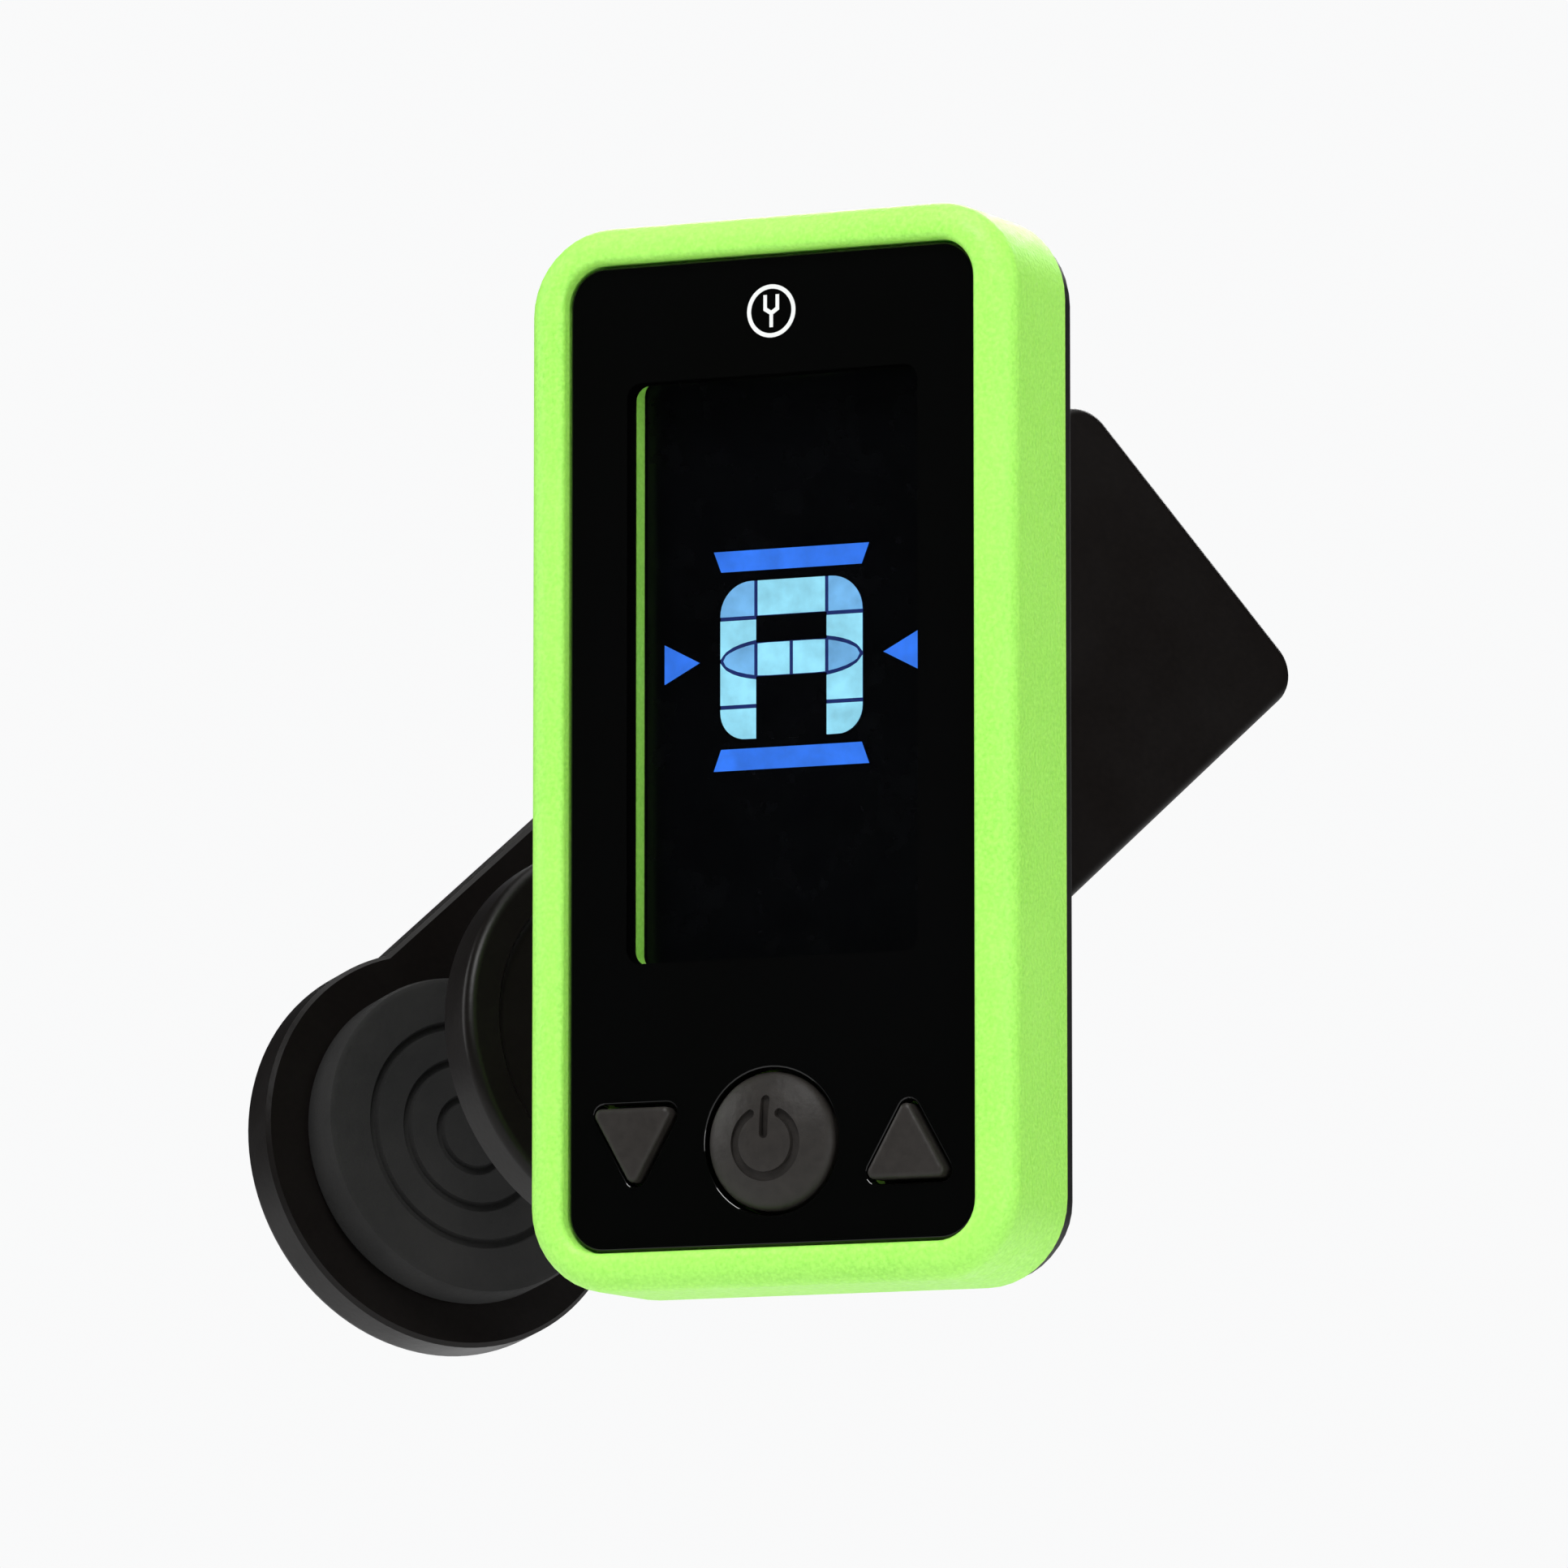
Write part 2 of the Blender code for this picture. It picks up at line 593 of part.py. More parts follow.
# neck ------------------------------------------------------------------
def make_arm():
    neck = 3.2
    low = math.acos(neck / EYE_R)
    side = circle(EYE_R, 20, 0, 0, math.pi - low, 2 * low + math.pi)
    side += [(neck, 6.4), (-neck, 6.4)]
    arm = part("tilt_arm", plate([side], 2 * EYE_HALF), tilt, (0, 0, 0), ALONG_T, (CLIP_BLACK, 0.4, 0.0))
    disc = [(0, 8.2), (5.1, 8.2), (5.5, 7.8), (5.5, 6.4), (4.9, 5.9), (0, 5.9)]
    join(arm, tool(turned(disc, 28), tilt))
    cut(arm, tool(rod(PIN_BORE, -6, 6), tilt, (0, 0, 0), turn(0, 90)))
    cut(arm, tool(rod(1.2, 2.9, 9), tilt))
    screw = [(0, 11.5), (1.9, 11.5), (2.5, 11.1), (2.5, 10.4), (SWIVEL_R, 10.4), (SWIVEL_R, 3.4), (0, 3.1)]
    item = part("swivel_screw", turned(screw, 18), tilt, (0, 0, 0), (0, 0, 0), (STEEL, 0.3, 1.0))
    cut(item, tool(brick(2.9, 0.5, 1.0), tilt, (0, 0, 11.5)))
    cut(item, tool(brick(0.5, 2.9, 1.0), tilt, (0, 0, 11.5)))
    part("swivel_washer", ring(1.25, 2.9, 10.0, 10.25), tilt, (0, 0, 0), (0, 0, 0), (STEEL, 0.3, 1.0))


def make_turret():
    profile = [(0, 3.0), (6.2, 3.0), (7.0, 2.3), (7.0, 0.3), (0, 0.3)]
    body = part("turret", turned(profile, 36), base, (0, 0, 0), (0, 0, 0), (CLIP_BLACK, 0.4, 0.0))
    side = [(-CHEEK_R, 2.0), (CHEEK_R, 2.0)] + circle(CHEEK_R, 14, 0, TILT_HEIGHT, 0, math.pi)
    join(body, tool(plate([side], 2 * CHEEK_OUT), base, (0, 0, 0), ALONG_T))
    cut(body, tool(brick(2 * CHEEK_IN, 12, 14), base, (0, 0, TILT_HEIGHT - FORK_DEPTH + 7)))
    cut(body, tool(rod(PIN_BORE, -8, 8), base, (0, 0, TILT_HEIGHT), turn(0, 90)))
    cut(body, tool(rod(PIN_BORE, -1, 9), base))
    under = -LEVER_THICK - 0.6
    end = under - 1.2
    screw = [(0, 8.2), (PIN_R, 8.2), (PIN_R, under), (2.6, under), (2.6, end + 0.3), (2.2, end), (0, end)]
    item = part("base_screw", turned(screw, 18), base, (0, 0, 0), (0, 0, 0), (STEEL, 0.3, 1.0))
    cut(item, tool(brick(3.2, 0.6, 1.0), base, (0, 0, end)))
    cut(item, tool(brick(0.6, 3.2, 1.0), base, (0, 0, end)))
    part("base_washer", ring(1.8, 3.0, -3.5, -3.15), base, (0, 0, 0), (0, 0, 0), (STEEL, 0.3, 1.0))
    x = CHEEK_OUT
    screw = [(0, x + 1.5), (2.0, x + 1.4), (2.7, x + 0.8), (2.7, x + 0.1), (PIN_R, x + 0.1)]
    screw += [(PIN_R, -x - 1.7), (0, -x - 1.9)]
    at = (0, 0, TILT_HEIGHT)
    item = part("tilt_screw", turned(screw, 20), base, at, turn(0, 90), (STEEL, 0.3, 1.0), True)
    cut(item, tool(brick(0.8, 3.0, 0.6), base, (x + 1.5, 0, TILT_HEIGHT)))
    cut(item, tool(brick(0.8, 0.6, 3.0), base, (x + 1.5, 0, TILT_HEIGHT)))
    nut = plate([circle(2.9, 6), circle(PIN_R + 0.1, 16)], 1.5)
    part("tilt_nut", nut, base, (-x - 0.85, 0, TILT_HEIGHT), turn(0, 90), (STEEL, 0.3, 1.0))
    for name, sign in (("tilt_washer_left", -1), ("tilt_washer_right", 1)):
        disc = ring(1.7, 3.7, -0.18, 0.18)
        middle = (EYE_HALF + CHEEK_IN) / 2 * sign
        part(name, disc, base, (middle, 0, TILT_HEIGHT), turn(0, 90), (STEEL, 0.3, 1.0))


# clip ------------------------------------------------------------------
def lever_outline():
    half = LEVER_W / 2
    reach = math.asin(half / JAW_R)
    jaw = circle(JAW_R, 28, JAW_A, 0, reach, 2 * math.pi - 2 * reach)
    thumb = rounded([(jaw[-1][0], -half), (THUMB_END, -half), (THUMB_END, half), (jaw[0][0], half)],
                    [0, THUMB_CORNER, THUMB_CORNER, 0], 5)
    return jaw[:-1] + thumb[:-1]


def ear_outline(sign, top):
    """Side plate in the lever's length and height, from the lever face to the hinge."""
    deep = top - sign * SKIRT
    eye = circle(EAR_R, 14, HINGE_A, HINGE_N, 0, -sign * math.pi)
    right = [(THUMB_END - 2.2, top + sign * 0.5), (THUMB_END - 2.2, deep + sign * 0.9)]
    right += [(THUMB_END - 4.5, deep), (HINGE_A + 7.5, deep - sign * 0.4)]
    left = [(HINGE_A - 7.0, deep - sign * 0.2), (HINGE_A - 9.5, deep + sign * 0.9)]
    left.append((HINGE_A - 9.5, top + sign * 0.5))
    return right + eye + left


def make_lever(name, parent, top, sign, ear, offset):
    """A lever whose inner face is at height top; sign is +1 for the front one."""
    middle = top + sign * LEVER_THICK / 2
    body = part(name, plate([lever_outline()], LEVER_THICK), parent, (offset[0], 0, offset[1] + middle),
                (0, 0, 0), (CLIP_BLACK, 0.4, 0.0))
    outer = LEVER_THICK / 2 * sign
    round_edges(body, 0.5, 2, lambda p: abs(p.z - outer) < 0.1)
    for side in (-1, 1):
        shape = plate([ear_outline(sign, top)], EAR_THICK)
        join(body, tool(shape, parent, (offset[0], side * ear, offset[1]), ALONG_A))
    at = (offset[0] + HINGE_A, 0, offset[1] + HINGE_N)
    cut(body, tool(rod(PIN_BORE, -12, 12, 20), parent, at, turn(90)))
    return body


def make_clip():
    front = make_lever("front_lever", clip, -LEVER_THICK, 1, EAR_OUT, (0, 0))
    cut(front, tool(rod(PIN_BORE, -5, 2, 20), clip))
    shift = (-HINGE_A, -HINGE_N)
    make_lever("rear_lever", hinge, REAR_TOP, -1, EAR_IN, shift)
    groove = [(PAD_R - 2.6, 0), (PAD_R - 2.9, 0.5), (PAD_R - 3.3, 0.5), (PAD_R - 3.6, 0)]
    pad = [(0, PAD_THICK), (PAD_R - 0.4, PAD_THICK), (PAD_R, PAD_THICK - 0.4), (PAD_R, 0.5)]
    pad += [(PAD_R - 0.5, 0)] + groove + [(0, 0)]
    at = (JAW_A, 0, PAD_FACE)
    part("fixed_pad", turned(pad, 26), clip, at, (0, 0, 0), (RUBBER, 0.85, 0.0))
    at = (JAW_A - HINGE_A, 0, REAR_PAD_FACE - HINGE_N)
    part("moving_pad", turned(pad, 26), hinge, at, turn(180), (RUBBER, 0.85, 0.0))
    end = EAR_OUT + EAR_THICK / 2
    pin = [(0, end + 1.0), (1.9, end + 0.9), (2.3, end + 0.6), (2.3, end + 0.15), (PIN_R, end + 0.15)]
    pin += [(PIN_R, -end - 0.2), (1.0, -end - 0.6), (0, -end - 0.6)]
    part("hinge_pin", turned(pin, 18), clip, (HINGE_A, 0, HINGE_N), turn(90), (STEEL, 0.25, 1.0), True)
    make_spring()


def make_spring():
    coil = 2.9
    gauge = 0.5
    turns = 4
    width = 7.2
    start = math.radians(118)
    total = turns * 2 * math.pi + math.radians(124)
    steps = 76
    leg = 15.0
    points = []
    for k in range(steps + 1):
        angle = start - total * k / steps
        points.append((coil * math.cos(angle), width * (k / steps - 0.5), coil * math.sin(angle)))
    first = points[0]
    last = points[-1]
    rise = -LEVER_THICK - HINGE_N - gauge - 0.15
    head = (leg, first[1], rise)
    tail = (leg, last[1], -rise)
    path = [head, first] + points[1:-1] + [last, tail]
    part("torsion_spring", wire(path, gauge), clip, (HINGE_A, 0, HINGE_N), (0, 0, 0), (STEEL, 0.3, 1.0), True)


make_bezel()
make_window()
make_arrow("button_down", -ARROW_X, -1)
make_arrow("button_up", ARROW_X, 1)
make_power()
make_display()
make_electronics()
make_cover()
make_door()
for number, spot in enumerate(SCREW_SPOTS, 1):
    make_cover_screw(number, *spot)
make_arm()
make_turret()
make_clip()
bpy.context.view_layer.update()
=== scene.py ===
"""Looks of the clip-on tuner: lime bezel, black window with a lit display, satin black clip.

Numbers are millimetres in each frame; MM turns them into metres in the row frame.
"""

import json
import math

import bmesh
import bpy
from mathutils import Matrix, Vector


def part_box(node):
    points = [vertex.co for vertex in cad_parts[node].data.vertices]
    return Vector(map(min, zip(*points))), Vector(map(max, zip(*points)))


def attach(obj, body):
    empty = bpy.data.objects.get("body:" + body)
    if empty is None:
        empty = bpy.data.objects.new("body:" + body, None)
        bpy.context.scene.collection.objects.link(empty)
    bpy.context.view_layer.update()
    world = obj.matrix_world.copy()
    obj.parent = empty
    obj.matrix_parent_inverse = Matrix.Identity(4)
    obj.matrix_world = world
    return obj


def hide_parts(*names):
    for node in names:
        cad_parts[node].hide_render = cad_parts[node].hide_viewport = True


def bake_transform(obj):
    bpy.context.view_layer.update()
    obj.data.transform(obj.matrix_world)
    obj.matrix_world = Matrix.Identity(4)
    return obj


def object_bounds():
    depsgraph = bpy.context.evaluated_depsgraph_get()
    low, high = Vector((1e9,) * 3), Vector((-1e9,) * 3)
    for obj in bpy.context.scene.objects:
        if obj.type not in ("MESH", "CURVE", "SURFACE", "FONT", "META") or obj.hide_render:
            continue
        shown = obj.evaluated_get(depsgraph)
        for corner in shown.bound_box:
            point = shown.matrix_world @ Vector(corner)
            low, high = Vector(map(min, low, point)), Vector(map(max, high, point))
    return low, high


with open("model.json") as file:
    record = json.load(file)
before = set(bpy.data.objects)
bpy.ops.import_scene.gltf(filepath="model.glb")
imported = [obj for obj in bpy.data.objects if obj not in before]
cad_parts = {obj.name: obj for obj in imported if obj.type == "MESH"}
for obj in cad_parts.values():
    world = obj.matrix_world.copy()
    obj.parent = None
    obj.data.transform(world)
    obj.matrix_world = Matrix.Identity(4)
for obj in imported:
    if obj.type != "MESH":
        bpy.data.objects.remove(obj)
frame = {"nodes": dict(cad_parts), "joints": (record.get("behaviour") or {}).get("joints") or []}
CAD_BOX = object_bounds()
NODES = frame["nodes"]
JOINTS = {joint["name"]: joint for joint in frame["joints"]}
MM = 0.001

# head dimensions, measured from the centre of the bezel's front: x right, y back, z up.
# Three numbers in one tuple are a width, a height and a corner radius.
HEAD_W = 31.0
HEAD_H = 62.0
HEAD_CORNER = 5.0
BEZEL_BACK = 8.0
EDGE_R = 1.5  # front edge of the bezel
MOUTH_R = 0.5  # edge between the bezel's front and its pocket
SKIRT = (27.8, 58.8, 3.4)  # inside of the bezel behind its web
POCKET = (26.2, 57.6, 2.35)
WINDOW = (25.9, 57.3, 2.2)
WINDOW_FRONT = 0.9
WINDOW_BACK = 2.1
WEB = (2.4, 3.4)  # front and back of the web
WEB_GAP = 0.35  # between a key and its hole in the web
WINDOW_GAP = 0.25  # between a key and its hole in the window
WELL = (18.8, 34.4)
WELL_Z = 5.0
CLEAR = (18.6, 33.85, 0.9)  # part of the window with no print behind it
CLEAR_Z = 4.82
DISPLAY = (24.0, 36.6)
GLASS_FRONT = 3.6
GLASS_BACK = 5.4
ARROW_X = 8.7
ARROW_Z = -22.8
ARROW_HALF = (2.7, 2.35)
ARROW_ROUND = 0.4
POWER_Z = -22.7
POWER_R = 4.0
KEY_FLANGE = (3.5, 4.3)  # front and back of the flange that keeps a key in
FLANGE_OUT = 0.7
CELL_Z = 14.2
BOSS_Z = -2.8
COVER_BACK = 13.5
POST_R = 1.7
SCREW_SPOTS = ((-9.8, 25.4), (9.8, 25.4), (-10.1, -17.2), (10.1, -17.2))
LETTER_Z = 5.55

# clip dimensions, measured from the turret axis on the front lever's outer face
JAW_A = -13.7
JAW_R = 12.5
THUMB_END = 41.3
THUMB_CORNER = 2.4
LEVER_W = 22.6
LEVER_THICK = 3.0
PAD_FACE = -6.3
PAD_R = 10.0
PAD_THICK = 3.0
JAW_GAP = 15.5
HINGE_A = 12.3
HINGE_N = PAD_FACE - JAW_GAP / 2
REAR_TOP = PAD_FACE - JAW_GAP - 3.3
TILT_HEIGHT = 16.0
PIVOT_BORE = 1.62

FRAME_WIDTH = 0.09  # metres across the picture at the head


# frames -------------------------------------------------------------------
def basis(origin, x, y, z):
    """4x4 that carries millimetres in a local frame to metres in the row frame."""
    turn = Matrix((x, y, z)).transposed().to_4x4()
    return Matrix.Translation(Vector(origin)) @ turn @ Matrix.Scale(MM, 4)


def head_frame():
    low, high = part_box("bezel")
    centre = ((low.x + high.x) / 2, low.y, (low.z + high.z) / 2)
    return Matrix.Translation(Vector(centre)) @ Matrix.Scale(MM, 4)


NORMAL = Vector(JOINTS["base_swivel"]["axis"]).normalized()
ACROSS = -Vector(JOINTS["clip_hinge"]["axis"]).normalized()
ALONG = ACROSS.cross(NORMAL).normalized()
TILT = Vector(JOINTS["head_tilt"]["axis"]).normalized()
HEAD = head_frame()
CLIP = basis(JOINTS["base_swivel"]["pos_m"], ALONG, ACROSS, NORMAL)
TURRET = basis(JOINTS["base_swivel"]["pos_m"], TILT, NORMAL.cross(TILT), NORMAL)
FORWARD = Vector((0, -1, 0))
ARM = basis(JOINTS["head_tilt"]["pos_m"], TILT, FORWARD.cross(TILT), FORWARD)
FACING = Matrix.Rotation(math.pi / 2, 4, "X")
ALONG_X = Matrix.Rotation(math.pi / 2, 4, "Y")
SIDEWAYS = Matrix.Rotation(math.pi / 2, 4, "Z") @ FACING


def at(x, y, z):
    return Matrix.Translation(Vector((x, y, z)))


# outlines -----------------------------------------------------------------
def rounded(points, radius, steps):
    """Outline through points with every corner rounded."""
    out = []
    for i, here in enumerate(points):
        p = Vector(here)
        a = (Vector(points[i - 1]) - p).normalized()
        b = (Vector(points[(i + 1) % len(points)]) - p).normalized()
        r = radius[i] if isinstance(radius, (list, tuple)) else radius
        if r <= 0:
            out.append((p.x, p.y))
            continue
        half = a.angle(b) / 2
        centre = p + (a + b).normalized() * (r / math.sin(half))
        start = p + a * (r / math.tan(half)) - centre
        end = p + b * (r / math.tan(half)) - centre
        sweep = start.angle_signed(end)
        for k in range(steps + 1):
            angle = -sweep * k / steps
            c = math.cos(angle)
            s = math.sin(angle)
            x = centre.x + c * start.x - s * start.y
            y = centre.y + s * start.x + c * start.y
            out.append((x, y))
    return out


def box_outline(width, height, radius, steps=10, x=0.0, y=0.0):
    w = width / 2
    h = height / 2
    corners = [(x - w, y - h), (x + w, y - h), (x + w, y + h), (x - w, y + h)]
    return rounded(corners, radius, steps)


def circle(radius, steps=48, x=0.0, y=0.0, start=0.0, sweep=2 * math.pi):
    """Circle, or an arc of it with both ends when sweep is less than a turn."""
    full = abs(sweep - 2 * math.pi) < 1e-9
    out = []
    for k in range(steps if full else steps + 1):
        angle = start + sweep * k / steps
        out.append((x + radius * math.cos(angle), y + radius * math.sin(angle)))
    return out


def band(outer, inner, steps, inner_steps=None, x=0.0, y=0.0):
    """The two rings of a flat washer."""
    hole = circle(inner, inner_steps or steps, x, y)
    return [circle(outer, steps, x, y), list(reversed(hole))]


def arrow_outline(x, direction, grow, radius, steps=6):
    """Triangle of an arrow key, pushed out by grow, pointing up for direction 1."""
    w, h = ARROW_HALF
    base = ARROW_Z - h * direction
    points = [(x - w, base), (x + w, base), (x, ARROW_Z + h * direction)]
    if direction < 0:
        points.reverse()
    centre = Vector((x, ARROW_Z - h * direction / 3))
    reach = 1 + grow / (2 * h / 3)
    corners = [tuple(centre + (Vector(p) - centre) * reach) for p in points]
    return rounded(corners, radius, steps)


def key_holes(gap, steps):
    """Holes for the three keys, gap wider than the keys all round."""
    return [
        arrow_outline(-ARROW_X, -1, gap, ARROW_ROUND + gap),
        arrow_outline(ARROW_X, 1, gap, ARROW_ROUND + gap),
        circle(POWER_R + gap, steps, 0, POWER_Z),
    ]


def shoulder(radius, height, round_by, step, count):
    """Points down a rounded top edge, from the flat top outwards; step is in degrees."""
    out = []
    for k in range(count):
        angle = math.radians(step * k)
        out.append((radius + round_by * math.sin(angle), height + round_by * math.cos(angle)))
    return out


# meshes -------------------------------------------------------------------
def finish_mesh(mesh, sharp=32):
    work = bmesh.new()
    work.from_mesh(mesh)
    bmesh.ops.remove_doubles(work, verts=work.verts, dist=1e-5)
    bmesh.ops.recalc_face_normals(work, faces=work.faces)
    work.to_mesh(mesh)
    work.free()
    mesh.polygons.foreach_set("use_smooth", [True] * len(mesh.polygons))
    mesh.set_sharp_from_angle(angle=math.radians(sharp))
    return mesh


def rows_mesh(rows, closed=False):
    """Surface through rows of (x, y, z) points; ends are capped unless closed joins them."""
    mesh = bpy.data.meshes.new("rows")
    work = bmesh.new()
    verts = [[work.verts.new(p) for p in row] for row in rows]
    count = len(verts[0])
    pairs = list(zip(verts, verts[1:]))
    if closed:
        pairs.append((verts[-1], verts[0]))
    for upper, lower in pairs:
        for k in range(count):
            after = (k + 1) % count
            work.faces.new((upper[k], lower[k], lower[after], upper[after]))
    if not closed:
        work.faces.new(verts[0])
        work.faces.new(list(reversed(verts[-1])))
    work.to_mesh(mesh)
    work.free()
    return finish_mesh(mesh)


def sleeve(sections, closed=False, steps=10):
    """Surface through rounded boxes (width, height, radius, depth) across the head."""
    rows = []
    for width, height, radius, depth in sections:
        outline = box_outline(width, height, radius, steps)
        rows.append([(x, depth, z) for x, z in outline])
    return rows_mesh(rows, closed)


def plate(rings, low, high, round_by=0.0, segments=3):
    """Flat solid between two heights, rings in XY, with rounded edges."""
    curve = bpy.data.curves.new("plate", "CURVE")
    curve.dimensions = "2D"
    curve.fill_mode = "BOTH"
    curve.extrude = (high - low) / 2 - round_by
    curve.bevel_depth = round_by
    curve.bevel_resolution = segments
    curve.offset = -round_by
    for ring in rings:
        spline = curve.splines.new("POLY")
        spline.points.add(len(ring) - 1)
        for point, (x, y) in zip(spline.points, ring):
            point.co = (x, y, 0.0, 1.0)
        spline.use_cyclic_u = True
    holder = bpy.data.objects.new("plate", curve)
    bpy.context.scene.collection.objects.link(holder)
    graph = bpy.context.evaluated_depsgraph_get()
    mesh = bpy.data.meshes.new_from_object(holder.evaluated_get(graph))
    bpy.data.objects.remove(holder)
    mesh.transform(Matrix.Translation((0, 0, (high + low) / 2)))
    return finish_mesh(mesh)


def turned(profile, steps=64, closed=False):
    """Solid of revolution about Z through (radius, height) points, top to bottom."""
    mesh = bpy.data.meshes.new("turned")
    work = bmesh.new()
    rings = []
    for radius, height in profile:
        if radius < 1e-6:
            rings.append([work.verts.new((0, 0, height))])
            continue
        rings.append([work.verts.new((x, y, height)) for x, y in circle(radius, steps)])
    pairs = list(zip(rings, rings[1:]))
    if closed:
        pairs.append((rings[-1], rings[0]))
    for upper, lower in pairs:
        for k in range(steps):
            after = (k + 1) % steps
            if len(upper) == 1:
                work.faces.new((upper[0], lower[k], lower[after]))
            elif len(lower) == 1:
                work.faces.new((upper[k], lower[0], upper[after]))
            else:
                work.faces.new((upper[k], lower[k], lower[after], upper[after]))
    work.to_mesh(mesh)
    work.free()
    return finish_mesh(mesh)


def rod(radius, low, high, steps=48):
    return turned([(0, high), (radius, high), (radius, low), (0, low)], steps)


def brick(x, y, z):
    mesh = bpy.data.meshes.new("brick")
    work = bmesh.new()
    bmesh.ops.create_cube(work, size=1.0)
    bmesh.ops.scale(work, vec=(x, y, z), verts=work.verts)
    work.to_mesh(mesh)
    work.free()
    return mesh


def shaped(mesh, *matrices):
    """A copy of mesh carried by the matrices, the last one first."""
    copy = mesh.copy()
    for matrix in reversed(matrices):
        copy.transform(matrix)
    return copy


def combine(base, steps, sharp=32):
    """base after a list of (operation, mesh) Boolean steps, all in one frame."""
    body = bpy.data.objects.new("work", base)
    bpy.context.scene.collection.objects.link(body)
    tools = []
    for operation, mesh in steps:
        other = bpy.data.objects.new("tool", mesh)
        bpy.context.scene.collection.objects.link(other)
        tools.append(other)
        step = body.modifiers.new("step", "BOOLEAN")
        step.operation = operation
        step.solver = "EXACT"
        step.object = other
    graph = bpy.context.evaluated_depsgraph_get()
    mesh = bpy.data.meshes.new_from_object(body.evaluated_get(graph))
    for item in tools + [body]:
        bpy.data.objects.remove(item)
    return finish_mesh(mesh, sharp)


ADD = "UNION"
CUT = "DIFFERENCE"


def weighed(mesh):
    """Copy of mesh whose flat faces keep flat shading next to rounded edges."""
    holder = bpy.data.objects.new("weigh", mesh)
    bpy.context.scene.collection.objects.link(holder)
    step = holder.modifiers.new("weigh", "WEIGHTED_NORMAL")
    step.keep_sharp = True
    step.weight = 80
    graph = bpy.context.evaluated_depsgraph_get()
    out = bpy.data.meshes.new_from_object(holder.evaluated_get(graph))
    bpy.data.objects.remove(holder)
    return out


def piece(name, mesh, matrix, body, material, node=None):
    """Shows mesh, carried into the row frame, riding on a CAD body in place of a CAD node."""
    mesh.transform(matrix)
    mesh = weighed(mesh)
    mesh.name = name
    mesh.materials.clear()
    mesh.materials.append(material)
    item = bpy.data.objects.new(name, mesh)
    bpy.context.scene.collection.objects.link(item)
    if body:
        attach(item, body)
    if node:
        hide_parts(node)
    return item


# materials ----------------------------------------------------------------
class Paint:
    """Node material built in steps around one Principled BSDF."""

    def __init__(self, name, colour, roughness, metallic=0.0):
        self.made = bpy.data.materials.new(name)
        self.made.use_nodes = True
        self.nodes = self.made.node_tree.nodes
        self.links = self.made.node_tree.links
        self.shader = self.nodes["Principled BSDF"]
        self.shader.inputs["Metallic"].default_value = metallic
        self.place = self.nodes.new("ShaderNodeTexCoord").outputs["Object"]
        self.colour = self.rgb(colour)
        self.roughness = roughness
        self.height = None

    def rgb(self, colour):
        node = self.nodes.new("ShaderNodeRGB")
        node.outputs[0].default_value = (*colour, 1.0)
        return node.outputs[0]

    def noise(self, scale, detail=3.0, stretch=(1, 1, 1)):
        """Noise with features scale per metre."""
        mapping = self.nodes.new("ShaderNodeMapping")
        mapping.inputs["Scale"].default_value = stretch
        self.links.new(self.place, mapping.inputs["Vector"])
        node = self.nodes.new("ShaderNodeTexNoise")
        node.inputs["Scale"].default_value = scale
        node.inputs["Detail"].default_value = detail
        self.links.new(mapping.outputs[0], node.inputs["Vector"])
        return node.outputs["Fac"]

    def ramp(self, source, low, high):
        """source spread from low to high."""
        node = self.nodes.new("ShaderNodeMapRange")
        node.inputs["From Min"].default_value = 0.3
        node.inputs["From Max"].default_value = 0.7
        node.inputs["To Min"].default_value = low
        node.inputs["To Max"].default_value = high
        self.links.new(source, node.inputs["Value"])
        return node.outputs["Result"]

    def math(self, operation, a, b):
        node = self.nodes.new("ShaderNodeMath")
        node.operation = operation
        for socket, value in zip(node.inputs, (a, b)):
            if isinstance(value, (int, float)):
                socket.default_value = value
            else:
                self.links.new(value, socket)
        return node.outputs[0]

    def tint(self, source, colour, low=0.0, high=1.0):
        """Mixes colour in where source is high."""
        mix = self.nodes.new("ShaderNodeMix")
        mix.data_type = "RGBA"
        self.links.new(self.ramp(source, low, high), mix.inputs["Factor"])
        self.links.new(self.colour, mix.inputs["A"])
        mix.inputs["B"].default_value = (*colour, 1.0)
        self.colour = mix.outputs["Result"]
        return self

    def rough(self, source, low, high):
        self.roughness = self.ramp(source, low, high)
        return self

    def bump(self, source, depth):
        """Surface relief, depth in metres."""
        node = self.nodes.new("ShaderNodeBump")
        node.inputs["Strength"].default_value = 1.0
        node.inputs["Distance"].default_value = depth
        self.links.new(source, node.inputs["Height"])
        if self.height:
            self.links.new(self.height, node.inputs["Normal"])
        self.height = node.outputs["Normal"]
        return self

    def set(self, **values):
        for name, value in values.items():
            self.shader.inputs[name.replace("_", " ")].default_value = value
        return self

    def done(self):
        self.links.new(self.colour, self.shader.inputs["Base Color"])
        if isinstance(self.roughness, float):
            self.shader.inputs["Roughness"].default_value = self.roughness
        else:
            self.links.new(self.roughness, self.shader.inputs["Roughness"])
        if self.height:
            self.links.new(self.height, self.shader.inputs["Normal"])
        return self.made


def lime_rubber():
    paint = Paint("lime_rubber", (0.44, 0.94, 0.14), 0.5)
    paint.tint(paint.noise(4200, 4), (0.25, 0.72, 0.06), 0.0, 0.75)
    paint.tint(paint.noise(90, 2), (0.46, 0.95, 0.16), 0.0, 0.4)
    paint.rough(paint.noise(1800, 3), 0.42, 0.6)
    paint.bump(paint.noise(4200, 4), 0.00005)
    paint.set(Subsurface_Weight=0.3, Subsurface_Scale=0.001, Subsurface_Radius=(0.8, 1.0, 0.3))
    return paint.done()


